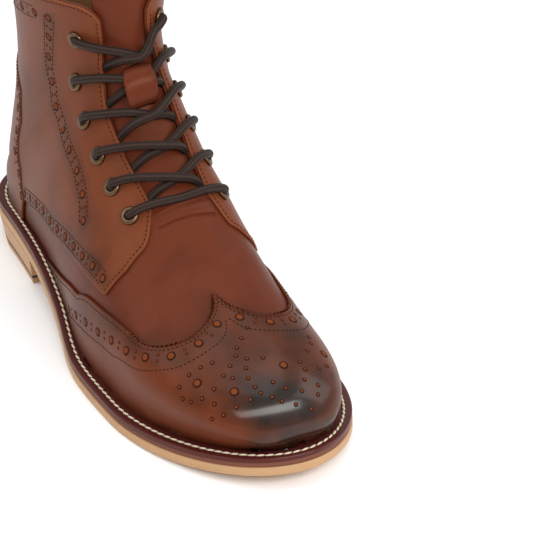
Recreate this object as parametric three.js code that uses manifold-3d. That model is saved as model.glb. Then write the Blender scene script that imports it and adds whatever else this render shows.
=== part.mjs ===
// A right brogue ankle boot: sole, hollow upper, panels, tongue, laces and inner side zip.
// Millimetres, +Z up, toe towards +X, inner side of the foot towards +Y.
// The origin is the centre of the heel's ground face.
import * as THREE from "three";
import { mergeVertices } from "three/addons/utils/BufferGeometryUtils.js";
import Module from "manifold-3d";

const wasm = await Module();
wasm.setup();

// Driving dimensions
const soleLength = 305;
const ballWidth = 107;
const heelWidth = 70;
const shaftWidth = 71.6;
const shaftRise = 162.5;
const heelRise = 17;
const toeSpring = 10;
const clearance = 0.3;

// Sole layers
const outsoleThickness = 4.8;
const midsoleThickness = 2.2;
const weltThickness = 2.4;
const midsoleInset = 0.6;
const weltInset = 0.2;
const weltWidth = 13.5;
const edgeBevel = 0.7;
const insoleThickness = 2.5;
const insoleSeat = 1.2;
const soleStations = 44;

// Where the sole leaves and meets the floor, measured from the back of the heel
const heelLength = 80;
const treadStart = 175;
const treadEnd = 215;
const heelRound = 38;
const toeRound = 90;

// Heel layers
const liftThickness = 3.4;
const heelLineThickness = 1.4;
const heelTaper = 2.4;
const breastSlope = 3;

// Ledge of welt that shows outside the upper
const heelLedge = 4.7;
const ballLedge = 7.2;
const ledgeWidens = 110;
const ledgeFull = 200;
const heelTuck = 6.5;
const toeTuck = 7.8;
const featherGap = 0.5;

// Upper and its panels, measured inwards from the outer leather
const panelThickness = 1.2;
const upperWall = 1.6;
const counterStep = 0.5;
const tongueThickness = 1.8;
const tongueGap = 0.6;

// Eyelets and lace
const eyeletBarrel = 2.7;
const eyeletBore = 2.1;
const eyeletFlange = 4.8;
const eyeletHeight = 1;
const eyeletSeat = 0.5;
const eyeletLift = 0.1;
const laceDiameter = 4.2;
const laceRest = 0.7;
const laceSides = 4;
const eyeletSides = 8;

// Zip on the inner side
const zipChainWidth = 5;
const zipSlotWidth = 6.4;
const zipChainThickness = 1.1;
const sliderLength = 12;
const sliderWidth = 8;
const sliderThickness = 2.6;
const sliderLift = 0.9;
const earThickness = 1.2;
const pullLength = 24;
const pullThickness = 1.6;
const pinDiameter = 1.6;
const pinSides = 12;
const zipMargin = 0.05;

// Outline of the sole: at is a share of soleLength, blend runs from heelWidth to ballWidth,
// centre is a share of ballWidth towards the inner side.
const outline = [
  { at: 0.0, blend: 0.0, centre: 0.009 },
  { at: 0.125, blend: 0.0, centre: 0.0 },
  { at: 0.285, blend: 0.027, centre: -0.042 },
  { at: 0.416, blend: 0.162, centre: -0.075 },
  { at: 0.551, blend: 0.649, centre: -0.079 },
  { at: 0.682, blend: 1.0, centre: -0.028 },
  { at: 0.8, blend: 1.0, centre: 0.016 },
  { at: 0.898, blend: 1.0, centre: 0.037 },
  { at: 1.0, blend: 1.0, centre: 0.045 },
];

// Sections of the last from toe to collar. top and foot are shares of soleLength, rise and low
// are shares of shaftRise above the bed. width is a share of ballWidth added to the feather
// line, and in the last six rows a share of half the shaftWidth. belly is the height share of
// the widest point. lean and seam shift the top and the back sideways, shares of ballWidth.
const sections = [
  { top: 0.974, rise: 0.013, foot: 0.974, low: 0, width: 0, belly: 0.5, lean: 0.045, seam: 0 },
  { top: 0.976, rise: 0.059, foot: 0.958, low: 0, width: 0.009, belly: 0.5, lean: 0.036, seam: 0 },
  { top: 0.968, rise: 0.111, foot: 0.936, low: 0, width: 0.013, belly: 0.5, lean: 0.022, seam: 0 },
  { top: 0.946, rise: 0.17, foot: 0.904, low: 0, width: 0.016, belly: 0.5, lean: 0.003, seam: 0 },
  { top: 0.905, rise: 0.223, foot: 0.859, low: 0, width: 0.015, belly: 0.48, lean: -0.019, seam: 0 },
  { top: 0.849, rise: 0.268, foot: 0.805, low: 0, width: 0.011, belly: 0.45, lean: -0.035, seam: 0 },
  { top: 0.777, rise: 0.31, foot: 0.738, low: 0, width: 0.007, belly: 0.42, lean: -0.041, seam: 0 },
  { top: 0.698, rise: 0.372, foot: 0.666, low: 0, width: 0.012, belly: 0.4, lean: -0.025, seam: 0 },
  { top: 0.63, rise: 0.452, foot: 0.584, low: 0, width: 0.034, belly: 0.38, lean: 0.005, seam: 0 },
  { top: 0.57, rise: 0.527, foot: 0.492, low: 0, width: 0.054, belly: 0.36, lean: 0.029, seam: 0 },
  { top: 0.521, rise: 0.572, foot: 0.4, low: 0, width: 0.062, belly: 0.34, lean: 0.036, seam: 0 },
  { top: 0.485, rise: 0.614, foot: 0.302, low: 0, width: 0.06, belly: 0.33, lean: 0.039, seam: 0 },
  { top: 0.462, rise: 0.671, foot: 0.203, low: 0, width: 0.056, belly: 0.33, lean: 0.041, seam: 0 },
  { top: 0.448, rise: 0.723, foot: 0.105, low: 0, width: 0.049, belly: 0.35, lean: 0.044, seam: 0 },
  { top: 0.439, rise: 0.766, foot: 0.021, low: 0, width: 0.936, belly: 0.4, lean: 0.046, seam: 0.014 },
  { top: 0.434, rise: 0.806, foot: 0.008, low: 0.129, width: 0.885, belly: 0.42, lean: 0.047, seam: 0.037 },
  { top: 0.43, rise: 0.846, foot: 0.016, low: 0.295, width: 0.844, belly: 0.45, lean: 0.048, seam: 0.051 },
  { top: 0.429, rise: 0.892, foot: 0.039, low: 0.48, width: 0.866, belly: 0.48, lean: 0.048, seam: 0.047 },
  { top: 0.427, rise: 0.945, foot: 0.056, low: 0.665, width: 0.933, belly: 0.5, lean: 0.049, seam: 0.042 },
  { top: 0.426, rise: 1, foot: 0.059, low: 0.849, width: 1, belly: 0.5, lean: 0.049, seam: 0.042 },
];
const heelSection = 14;
const collarSection = sections.length - 1;
const widest = 0.5;
const shoulderFullness = 0.89;
const heelBlendStart = 12.5;

// Reach of the forms that cut panels, the height shares left beside their edges, and how much
// closer the rows of a form stand at the toe
const cutReach = 4;
const toeCrowding = 1.3;
const counterGap = 0.006;
const throatMargin = 0.03;

// Lines drawn on the last. Each pair is a section number and the share of the way up from the
// feather line (0) to the ridge (1), or the other way round where the comment says so.
const throatStart = 8.3;
const throatEdge = {
  lateral: [[8.3, 0.905], [8.9, 0.896], [9.4, 0.88], [10, 0.86], [11, 0.842], [12.4, 0.836],
    [14, 0.842], [17.2, 0.832]],
  medial: [[8.3, 0.885], [8.9, 0.9], [9.4, 0.904], [10.3, 0.9], [11.7, 0.904], [13.4, 0.916],
    [15.8, 0.944], [17.2, 0.944]],
};
// Share of the throat edge first, then section
const collarLine = [[0, 18.9], [0.35, 18.85], [0.7, 18.4], [0.86, 18.05], [0.94, 17.7], [0.98, 17.3],
  [1, 16.9]];
// Rows of the form from the throat to the collar, close together round the back of the heel
const shaftRows = [8.3, 9.1, 9.9, 10.7, 11.4, 12.05, 12.6, 13.1, 13.5, 13.75, 13.9, 14, 14.7, 15.6,
  16.6, 17.7, 18.9].map((section) => (section - throatStart) / (collarLine[0][1] - throatStart));
// Height share first, then section
const quarterFront = [[0.63, 7.99], [0.75, 7.92], [0.84, 8.03], [0.905, 8.3], [1, 8.3]];
const wingEdge = [[0, 10.8], [0.08, 10.5], [0.25, 9.92], [0.42, 9.32], [0.52, 8.76], [0.6, 7.7],
  [0.66, 6.86], [0.7, 6.3], [0.78, 5.88], [0.86, 5.76], [0.93, 5.9], [0.975, 6.16], [1, 6.53]];
// Section first, then height share: lower edge of the quarter, then front and top of the counter
const quarterLow = [[7.9, 0.636], [8.6, 0.596], [9.6, 0.54], [10.1, 0.512], [11, 0.432], [11.65, 0.344],
  [12.2, 0.25], [12.45, 0.27], [13, 0.4], [13.7, 0.475], [14.5, 0.5], [15.6, 0.44], [16.4, 0.33],
  [17, 0.2], [17.25, 0.09], [17.3, 0], [19, 0]];
const counterFoot = 12.15;
const counterLean = 0.2;
const counterTop = 17.3;
const tongueStart = 7.6;
const tongueEnd = 18.8;
const tongueSide = 0.8;

// Eyelets from the bottom up, and where each lace crossing passes over the ridge
const eyeletSections = [8.84, 9.73, 10.7, 12.13, 14.18, 16.4];
const eyeletMargin = {
  lateral: [0.076, 0.084, 0.08, 0.08, 0.096, 0.104],
  medial: [0.088, 0.095, 0.08, 0.098, 0.125, 0.09],
};
const crossingSections = [9.1, 9.93, 10.88, 12.2, 13.8];
const barSection = 8.68;

// Where a lace leaves its eyelet towards the facing's edge, turns over that edge, dips at the
// crossing and ends under the other facing, as shares of those distances
const laceLeaves = 0.72;
const laceTurns = 0.92;
const laceDips = 0.35;
const laceEnds = 0.55;
const laceAdvance = 0.4;
const barAdvance = 0.5;

// Lace keeper on the tongue
const keeperStart = 11.25;
const keeperEnd = 13.3;
const keeperReach = { lateral: 0.075, medial: 0.02 };
const keeperThickness = 1.2;
const keeperFullness = 0.6;

// Route of the zip: section, height share
const zipRoute = [[12.9, 0.49], [13.7, 0.55], [14.5, 0.565], [16, 0.535], [17.4, 0.5], [18.5, 0.48]];
const sliderSection = 17.75;

// Places along the boot
const heelCentre = heelLength / 2;
const bedHeight = outsoleThickness + midsoleThickness + weltThickness + 2 * clearance;
const toeFeather = soleLength - toeTuck;
const upperOuter = -(panelThickness + clearance);
const upperInner = upperOuter - upperWall;
const tongueOuter = upperInner - tongueGap;
const laceOver = laceRest + laceDiameter / 2;
const laceUnder = tongueOuter + laceOver;
const sides = { lateral: -1, medial: 1 };
const mergeDistance = 1e-3;
const smallStep = 0.01;

const clamp = (value, low, high) => Math.min(high, Math.max(low, value));
const mix = (from, to, share) => from + (to - from) * share;
const smooth = (value) => {
  const t = clamp(value, 0, 1);
  return t * t * (3 - 2 * t);
};
const steps = (count) => Array.from({ length: count + 1 }, (_, i) => i / count);

// Smooth curve through a table of [place, value] pairs, held at its ends
function through(table, place) {
  const slope = (i) => (table[i + 1][1] - table[i][1]) / (table[i + 1][0] - table[i][0]);
  const tangent = (i) => {
    if (i === 0) return slope(0);
    if (i === table.length - 1) return slope(i - 1);
    const before = table[i][0] - table[i - 1][0];
    const after = table[i + 1][0] - table[i][0];
    return (slope(i - 1) * after + slope(i) * before) / (before + after);
  };
  let i = 0;
  while (i < table.length - 2 && place >= table[i + 1][0]) i += 1;
  const span = table[i + 1][0] - table[i][0];
  const t = clamp((place - table[i][0]) / span, 0, 1);
  const square = t * t;
  const cube = square * t;
  return (
    (2 * cube - 3 * square + 1) * table[i][1] +
    (cube - 2 * square + t) * span * tangent(i) +
    (3 * square - 2 * cube) * table[i + 1][1] +
    (cube - square) * span * tangent(i + 1)
  );
}

// Straight lines through a table of [place, value] pairs, for lines with corners
function along(table, place) {
  let i = 0;
  while (i < table.length - 2 && place >= table[i + 1][0]) i += 1;
  const t = clamp((place - table[i][0]) / (table[i + 1][0] - table[i][0]), 0, 1);
  return mix(table[i][1], table[i + 1][1], t);
}

const outlineBlend = outline.map((row) => [row.at, row.blend]);
const outlineCentre = outline.map((row) => [row.at, row.centre]);

const centreLine = (x) => ballWidth * through(outlineCentre, x / soleLength);

// Half width of the sole outline drawn in by an inset, round at heel and toe
function halfWidth(x, inset, back = inset, front = soleLength - inset) {
  const full = mix(heelWidth, ballWidth, through(outlineBlend, x / soleLength)) / 2;
  const heel = clamp((back + heelRound - x) / heelRound, 0, 1);
  const toe = clamp((x - front + toeRound) / toeRound, 0, 1);
  return (full - inset) * Math.sqrt(1 - heel * heel) * Math.sqrt(1 - toe * toe);
}

// Underside of the outsole above the floor: heel seat, arch, tread and toe spring
function underside(x) {
  const arch = heelRise * (1 - smooth((x - heelLength) / (treadStart - heelLength)));
  const spring = clamp((x - treadEnd) / (soleLength - treadEnd), 0, 1);
  return arch + toeSpring * spring * spring;
}

const bed = (x) => underside(x) + bedHeight;
const ledge = (x) => mix(heelLedge, ballLedge, smooth((x - ledgeWidens) / (ledgeFull - ledgeWidens)));

const column = (name) => sections.map((row, i) => [i, row[name]]);
const columns = Object.fromEntries(Object.keys(sections[0]).map((name) => [name, column(name)]));
const widthColumn = sections.map((row, i) => {
  if (i >= heelSection) return [i, (row.width * shaftWidth) / 2];
  const foot = clamp(row.foot * soleLength, heelTuck, toeFeather);
  return [i, halfWidth(foot, ledge(foot), heelTuck, toeFeather) + row.width * ballWidth];
});

// Point of the last's outer surface at a section and a height share, on one side
function lastPoint(section, height, side) {
  const onBed = section <= heelSection;
  const place = through(columns.foot, section) * soleLength;
  const foot = onBed ? clamp(place, heelTuck, toeFeather) : place;
  const feather = onBed ? halfWidth(foot, ledge(foot), heelTuck, toeFeather) : 0;
  const wide = Math.max(through(widthColumn, section), feather);
  const top = through(columns.top, section) * soleLength;
  const low = onBed ? bed(foot) : bed(heelTuck) + through(columns.low, section) * shaftRise;
  const high = bed(Math.max(foot, heelTuck)) + through(columns.rise, section) * shaftRise;
  const belly = through(columns.belly, section);
  let reach;
  let share;
  if (height < widest) {
    const angle = ((height / widest) * Math.PI) / 2;
    const roundness = smooth((section - heelBlendStart) / (heelSection - heelBlendStart));
    reach = mix(feather, wide, Math.sin(angle));
    share = belly * mix(height / widest, 1 - Math.cos(angle), roundness);
  } else {
    const angle = (((height - widest) / (1 - widest)) * Math.PI) / 2;
    reach = wide * Math.max(Math.cos(angle), 0) ** shoulderFullness;
    share = mix(belly, 1, Math.sin(angle));
  }
  const back = centreLine(foot) + through(columns.seam, section) * ballWidth;
  const front = through(columns.lean, section) * ballWidth;
  return new THREE.Vector3(
    mix(foot, top, share) - heelCentre,
    mix(back, front, share) + side * reach,
    mix(low, high, share) + featherGap,
  );
}

// Outward direction of the last at a point
function lastNormal(section, height, side) {
  const reach = 0.001;
  const before = lastPoint(Math.max(section - reach, 0), height, side);
  const after = lastPoint(Math.min(section + reach, collarSection), height, side);
  const below = lastPoint(section, Math.max(height - reach, 0), side);
  const above = lastPoint(section, Math.min(height + reach, 1), side);
  const normal = after.sub(before).cross(above.sub(below)).multiplyScalar(side).normalize();
  const onSeam = section <= 0 || (height <= 0 && section >= heelSection);
  if (onSeam) normal.y = 0;
  return normal.normalize();
}

function onLast(section, height, side, offset) {
  const normal = lastNormal(section, height, side);
  return lastPoint(section, height, side).addScaledVector(normal, offset);
}

// Place on the ridge side of the last, across is the signed share away from the ridge
function acrossRidge(section, across, offset) {
  const side = across < 0 ? sides.lateral : sides.medial;
  return onLast(section, 1 - Math.abs(across), side, offset);
}

// Closed mesh from positions and triangles, with doubled corners merged and slivers left out
function closedGeometry(positions, triangles) {
  const geometry = new THREE.BufferGeometry();
  const numbers = positions.flatMap((p) => p.toArray());
  geometry.setAttribute("position", new THREE.Float32BufferAttribute(numbers, 3));
  geometry.setIndex(triangles.flat());
  const merged = mergeVertices(geometry, mergeDistance);
  const index = Array.from(merged.index.array);
  const kept = [];
  for (let i = 0; i < index.length; i += 3) {
    const [a, b, c] = index.slice(i, i + 3);
    if (a !== b && b !== c && c !== a) kept.push(a, b, c);
  }
  merged.setIndex(kept);
  return merged;
}

// A sheet of leather on the last. Each patch has rows of places {section, height, side};
// outer and inner are offsets from the last's surface, numbers or functions of a place.
// drop lengthens the sheet below the feather line.
function leather(patches, outer, inner, drop = 0) {
  const offsetAt = (offset, place) => (typeof offset === "function" ? offset(place) : offset);
  const places = [];
  const known = new Map();
  const indexOf = (place) => {
    const p = lastPoint(place.section, place.height, place.side);
    const key = p.toArray().map((value) => Math.round(value / (2 * mergeDistance))).join();
    if (!known.has(key)) {
      known.set(key, places.length);
      places.push(place);
    }
    return known.get(key);
  };
  const faces = [];
  for (const patch of patches) {
    for (let i = 0; i + 1 < patch.length; i += 1) {
      for (let j = 0; j + 1 < patch[i].length; j += 1) {
        const [a, b] = [indexOf(patch[i][j]), indexOf(patch[i + 1][j])];
        const [c, d] = [indexOf(patch[i + 1][j + 1]), indexOf(patch[i][j + 1])];
        const outward = patch[i][j].side > 0;
        const halves = [[a, b, c], [a, c, d]];
        for (const [p, q, r] of halves) {
          if (p !== q && q !== r && r !== p) faces.push(outward ? [p, q, r] : [p, r, q]);
        }
      }
    }
  }
  const positions = [outer, inner].flatMap((offset) =>
    places.map((place) => {
      const point = onLast(place.section, place.height, place.side, offsetAt(offset, place));
      if (place.height <= 0 && place.section < heelSection) point.z -= drop;
      return point;
    }),
  );
  const count = places.length;
  const borders = new Map();
  for (const face of faces) {
    face.forEach((from, i) => {
      const to = face[(i + 1) % 3];
      if (!borders.delete(`${to},${from}`)) borders.set(`${from},${to}`, [from, to]);
    });
  }
  const triangles = faces.flatMap(([a, b, c]) => [[a, b, c], [a + count, c + count, b + count]]);
  for (const [from, to] of borders.values()) {
    triangles.push([from, from + count, to + count], [from, to + count, to]);
  }
  return closedGeometry(positions, triangles);
}

// Patch of places whose rows and columns run from 0 to 1 through a mapping
function patch(rows, columnsAcross, side, mapping) {
  return rows.map((u) => columnsAcross.map((v) => ({ ...mapping(u, v), side })));
}

// Closed solid through rings of equal count. Ends that aren't lines are filled.
function loft(rings, filled, joined = false) {
  const count = rings[0].length;
  const positions = rings.flat();
  const triangles = [];
  const spans = joined ? rings.length : rings.length - 1;
  for (let i = 0; i < spans; i += 1) {
    const next = (i + 1) % rings.length;
    for (let j = 0; j < count; j += 1) {
      const k = (j + 1) % count;
      const [a, b, c, d] = [i * count + j, next * count + j, next * count + k, i * count + k];
      triangles.push([a, b, c], [a, c, d]);
    }
  }
  if (filled) {
    const flat = rings[0].map((p) => new THREE.Vector2(p.x, p.y));
    const end = (rings.length - 1) * count;
    for (const [a, b, c] of THREE.ShapeUtils.triangulateShape(flat, [])) {
      triangles.push([a, c, b], [a + end, b + end, c + end]);
    }
  }
  return outwards(closedGeometry(positions, triangles));
}

// Turns every face round if the solid's volume is negative
function outwards(geometry) {
  const position = geometry.getAttribute("position");
  const index = Array.from(geometry.index.array);
  const corner = (i) => new THREE.Vector3().fromBufferAttribute(position, index[i]);
  let volume = 0;
  for (let i = 0; i < index.length; i += 3) {
    volume += corner(i).dot(corner(i + 1).cross(corner(i + 2)));
  }
  if (volume < 0) {
    for (let i = 0; i < index.length; i += 3) [index[i + 1], index[i + 2]] = [index[i + 2], index[i + 1]];
    geometry.setIndex(index);
  }
  return geometry;
}

function solidOf(geometry) {
  const source = geometry.index ? geometry.clone() : geometry;
  source.deleteAttribute("normal");
  source.deleteAttribute("uv");
  const merged = mergeVertices(source, mergeDistance);
  return new wasm.Manifold(new wasm.Mesh({
    numProp: 3,
    vertProperties: new Float32Array(merged.getAttribute("position").array),
    triVerts: new Uint32Array(merged.index.array),
  }));
}

function geometryOf(solid) {
  const mesh = solid.getMesh();
  const geometry = new THREE.BufferGeometry();
  geometry.setAttribute("position", new THREE.BufferAttribute(new Float32Array(mesh.vertProperties), 3));
  geometry.setIndex(Array.from(mesh.triVerts));
  return geometry;
}

const joinAll = (geometries) =>
  geometryOf(geometries.map(solidOf).reduce((whole, next) => whole.add(next)));

function cutAll(geometry, cutters) {
  return geometryOf(cutters.map(solidOf).reduce((whole, next) => whole.subtract(next), solidOf(geometry)));
}

// Plate that follows the sole between two heights above its underside
function soleSlab(inset, back, front, low, high, bevel = 0) {
  const rings = steps(soleStations).map((share) => {
    const x = mix(back, front, (1 - Math.cos(Math.PI * share)) / 2);
    const half = halfWidth(x, typeof inset === "function" ? inset(x) : inset, back, front);
    const base = underside(x);
    const tuck = Math.min(bevel, half);
    const foot = bevel
      ? [[-half, low + bevel], [tuck - half, low], [half - tuck, low], [half, low + bevel]]
      : [[-half, low], [half, low]];
    const profile = [...foot, [half, high], [-half, high]];
    return profile.map(([y, z]) => new THREE.Vector3(x - heelCentre, centreLine(x) + y, base + z));
  });
  return loft(rings, false);
}

// Strip all the way round the sole
function weltStrip(outerInset, innerInset, low, high) {
  const place = (inset, share, side, height) => {
    const x = mix(inset, soleLength - inset, (1 - Math.cos(Math.PI * share)) / 2);
    const y = centreLine(x) + side * halfWidth(x, inset);
    return new THREE.Vector3(x - heelCentre, y, underside(x) + height);
  };
  const section = (share, side) => [
    place(outerInset, share, side, low),
    place(outerInset, share, side, high),
    place(innerInset, share, side, high),
    place(innerInset, share, side, low),
  ];
  const there = steps(soleStations).slice(0, -1).map((share) => section(share, sides.lateral));
  const back = steps(soleStations).slice(1).reverse().map((share) => section(share, sides.medial));
  return loft([...there, ...back], false, true);
}

// Layer of the heel between two heights above the floor, flat at both
function heelLayer(low, high) {
  const points = 14;
  const ring = (z) => {
    const inset = heelTaper * (1 - z / heelRise) + weltInset;
    const breast = heelLength + breastSlope * (z / heelRise - 1);
    const round = (share) => 1 - Math.cos((Math.PI / 2) * share);
    const stations = steps(points).map((share) => mix(inset, breast, round(share)));
    const edge = (side) => stations.map((x) => {
      const y = centreLine(x) + side * halfWidth(x, inset, inset, soleLength);
      return new THREE.Vector3(x - heelCentre, y, z);
    });
    return [...edge(sides.medial), ...edge(sides.lateral).slice(1).reverse()];
  };
  return loft([ring(low), ring(high)], true);
}

const throat = (side) => (side < 0 ? throatEdge.lateral : throatEdge.medial);
const throatHeight = (section, side) => through(throat(side), section);

// The whole upper's form: toe and vamp in one patch, shaft up to the collar in the other,
// on each side
function lastForm(outer, inner) {
  const columnsToThroat = steps(7);
  const columnsToRidge = [1 / 2, 1];
  const patches = Object.values(sides).flatMap((side) => {
    const edge = throatHeight(throatStart, side);
    const overRidge = columnsToRidge.map((v) => mix(edge, 1, v));
    const heights = [...columnsToThroat.map((v) => v * edge), ...overRidge];
    const toe = patch(steps(16), heights, side, (u, v) =>
      ({ section: throatStart * u ** toeCrowding, height: v }));
    const shaft = patch(shaftRows, columnsToThroat, side, (u, v) => {
      const section = mix(throatStart, through(collarLine, v), u);
      return { section, height: v * throatHeight(section, side) };
    });
    return [toe, shaft];
  });
  return leather(patches, outer, inner);
}

// A panel is the part of the whole form that lies inside a region
function panel(region, outer, inner) {
  const cutter = leather(region, cutReach, -cutReach, cutReach);
  return geometryOf(solidOf(lastForm(outer, inner)).intersect(solidOf(cutter)));
}

function wingCap() {
  const region = Object.values(sides).map((side) =>
    patch(steps(14), steps(16), side, (u, v) =>
      ({ section: through(wingEdge, v) * u ** toeCrowding, height: v })));
  return panel(region, 0, -panelThickness);
}

// Quarter: from its diagonal front edge back to the counter and up past the collar
function quarter(side) {
  const region = patch(steps(18), steps(5), side, (u, v) => {
    const corner = throatHeight(throatStart, side);
    const front = along(quarterFront, mix(quarterLow[0][1], corner, v));
    const section = mix(front, collarSection, u);
    const besideCounter = section > counterFoot && section < counterTop + counterGap;
    const low = along(quarterLow, section) + (besideCounter ? counterGap : 0);
    return { section, height: mix(low, throatHeight(section, side) + throatMargin * u, v) };
  });
  return panel([region], 0, -panelThickness);
}

function counter() {
  const region = Object.values(sides).map((side) =>
    patch(steps(13), steps(4), side, (u, v) => {
      const start = counterFoot + counterLean * v;
      const section = mix(start, counterTop - counterGap, u);
      const low = along(quarterLow, section) - counterGap;
      return { section, height: Math.max(v * low, 0) };
    }));
  return panel(region, counterStep, -panelThickness);
}

function tongue() {
  const patches = Object.values(sides).map((side) =>
    patch(steps(14), steps(2), side, (u, v) => ({
      section: mix(tongueStart, tongueEnd, u),
      height: mix(tongueSide, 1, v),
    })));
  const sheet = leather(patches, tongueOuter, tongueOuter - tongueThickness);
  return cutAll(sheet, [lastForm(0, upperInner - clearance)]);
}

// Loop of leather that stands off the tongue over the lace crossing
function laceKeeper() {
  const standOff = laceOver + laceDiameter / 2 - tongueOuter;
  const arch = ({ section }) => {
    const share = (section - keeperStart) / (keeperEnd - keeperStart);
    return tongueOuter + clearance + standOff * Math.sin(Math.PI * clamp(share, 0, 1)) ** keeperFullness;
  };
  const patches = Object.entries(sides).map(([name, side]) =>
    patch(steps(10), steps(2), side, (u, v) => ({
      section: mix(keeperStart, keeperEnd, u),
      height: mix(1 - keeperReach[name], 1, v),
    })));
  return leather(patches, (place) => arch(place) + keeperThickness, arch);
}

const eyeletHeightShare = (i, name) => throatHeight(eyeletSections[i], sides[name]) - eyeletMargin[name][i];

// Moves a shape built round +Z at the origin onto the last, standing along the normal
function standOnLast(geometry, section, height, side) {
  const up = new THREE.Vector3(0, 0, 1);
  const turn = new THREE.Quaternion().setFromUnitVectors(up, lastNormal(section, height, side));
  return geometry.applyQuaternion(turn).translate(...lastPoint(section, height, side).toArray());
}

function eyelet(i, name) {
  const top = eyeletSeat + eyeletHeight;
  const low = upperInner + eyeletLift;
  const profile = [
    [eyeletBore, low],
    [eyeletBarrel, low],
    [eyeletBarrel, eyeletSeat],
    [eyeletFlange, eyeletSeat],
    [mix(eyeletFlange, eyeletBarrel, 0.35), top],
    [mix(eyeletBore, eyeletBarrel, 0.5), top],
    [eyeletBore, low],
  ].map(([x, y]) => new THREE.Vector2(x, y));
  const ring = new THREE.LatheGeometry(profile, eyeletSides).rotateX(Math.PI / 2);
  const height = eyeletHeightShare(i, name);
  return outwards(withoutExtras(standOnLast(ring, eyeletSections[i], height, sides[name])));
}

// Leaves only positions and triangles on a library shape
function withoutExtras(geometry) {
  geometry.deleteAttribute("normal");
  geometry.deleteAttribute("uv");
  return mergeVertices(geometry, mergeDistance);
}

function eyeletHole(i, name) {
  const depth = 4 * upperWall + panelThickness;
  const radius = eyeletBarrel + clearance;
  const drill = new THREE.CylinderGeometry(radius, radius, depth, eyeletSides).rotateX(Math.PI / 2);
  return withoutExtras(standOnLast(drill, eyeletSections[i], eyeletHeightShare(i, name), sides[name]));
}

function cordAlong(points, stepCount) {
  const section = new THREE.Shape();
  section.absarc(0, 0, laceDiameter / 2, 0, 2 * Math.PI);
  const path = new THREE.CatmullRomCurve3(points, false, "centripetal");
  const tube = new THREE.ExtrudeGeometry(section, {
    steps: stepCount,
    extrudePath: path,
    curveSegments: laceSides,
    bevelEnabled: false,
  });
  return outwards(withoutExtras(tube));
}

// Signed distance of an eyelet or a facing edge from the ridge, as a height share
const eyeletAcross = (i, name) => sides[name] * (1 - eyeletHeightShare(i, name));
const edgeAcross = (section, name) => sides[name] * (1 - throatHeight(section, sides[name]));

// One strand: from beside an upper eyelet, over that facing, to below the other facing's edge
function laceStrand(i, fromName, toName) {
  const start = eyeletSections[i + 1];
  const middle = crossingSections[i];
  const finish = mix(middle, eyeletSections[i], laceAdvance);
  const from = eyeletAcross(i + 1, fromName);
  const fromEdge = edgeAcross(start, fromName);
  const toEdge = edgeAcross(finish, toName);
  return cordAlong([
    acrossRidge(start, mix(from, fromEdge, laceLeaves), laceOver),
    acrossRidge(mix(start, middle, laceAdvance), fromEdge * laceTurns, laceOver),
    acrossRidge(middle, 0, mix(laceUnder, laceOver, laceDips)),
    acrossRidge(finish, toEdge * laceEnds, laceUnder),
  ], 7);
}

function laceCrossing(i) {
  return joinAll([laceStrand(i, "lateral", "medial"), laceStrand(i, "medial", "lateral")]);
}

function laceBar() {
  const start = eyeletSections[0];
  const turn = mix(start, barSection, barAdvance);
  const half = Object.keys(sides).map((name) => [
    acrossRidge(start, mix(eyeletAcross(0, name), edgeAcross(start, name), laceLeaves), laceOver),
    acrossRidge(turn, edgeAcross(start, name) * laceTurns, laceOver),
  ]);
  const middle = acrossRidge(barSection, 0, laceUnder + clearance);
  return cordAlong([...half[0], middle, ...half[1].reverse()], 9);
}

// Band along the zip's route, with its two edges measured across the route
function zipBand(width, outer, inner, first, last) {
  const rows = steps(10).map((u) => {
    const section = mix(first, last, u);
    const height = through(zipRoute, section);
    const here = lastPoint(section, height, sides.medial);
    const ahead = lastPoint(section, height + smallStep, sides.medial);
    const halfShare = (smallStep * width) / 2 / here.distanceTo(ahead);
    return [-1, 0, 1].map((way) => ({ section, height: height + way * halfShare, side: sides.medial }));
  });
  return leather([rows], outer, inner);
}

const zipFirst = zipRoute[0][0];
const zipLast = zipRoute.at(-1)[0];

function quarterMedial(holes) {
  const cutDepth = 2 * panelThickness;
  const slot = zipBand(zipSlotWidth, cutDepth, -cutDepth, zipFirst, collarSection);
  return cutAll(quarter(sides.medial), [...holes, slot]);
}

const chainOuter = zipChainThickness - panelThickness;
const zipChain = () =>
  zipBand(zipChainWidth, chainOuter, -panelThickness, zipFirst + zipMargin, zipLast);

// Hinge of the pull tab on the slider: level and along the boot
const sliderHeight = through(zipRoute, sliderSection);
const sliderSeat = onLast(sliderSection, sliderHeight, sides.medial, sliderLift);
const sliderFace = sliderSeat.y + sliderThickness;
const pinReach = sliderFace + pullThickness / 2 + 2 * clearance;
const pinCentre = new THREE.Vector3(sliderSeat.x, pinReach, sliderSeat.z);

const roundPin = (diameter, length) =>
  new THREE.CylinderGeometry(diameter / 2, diameter / 2, length, pinSides).rotateZ(Math.PI / 2);

// Slider body: a plate over the chain with two ears that hold the pull tab's pin
function zipSlider() {
  const plate = new THREE.BoxGeometry(sliderWidth, sliderThickness, sliderLength);
  plate.translate(sliderSeat.x, sliderFace - sliderThickness / 2, sliderSeat.z);
  const earReach = pinCentre.y + pinDiameter - sliderFace;
  const ears = [-1, 1].map((way) => {
    const ear = new THREE.BoxGeometry(earThickness, earReach + sliderThickness / 2, 2 * pinDiameter);
    const y = sliderFace + (earReach - sliderThickness / 2) / 2;
    return ear.translate(pinCentre.x + (way * (sliderWidth - earThickness)) / 2, y, pinCentre.z);
  });
  const bore = roundPin(pinDiameter + 2 * clearance, 2 * sliderWidth).translate(...pinCentre.toArray());
  return cutAll(joinAll([plate, ...ears].map(withoutExtras)), [withoutExtras(bore)]);
}

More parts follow.
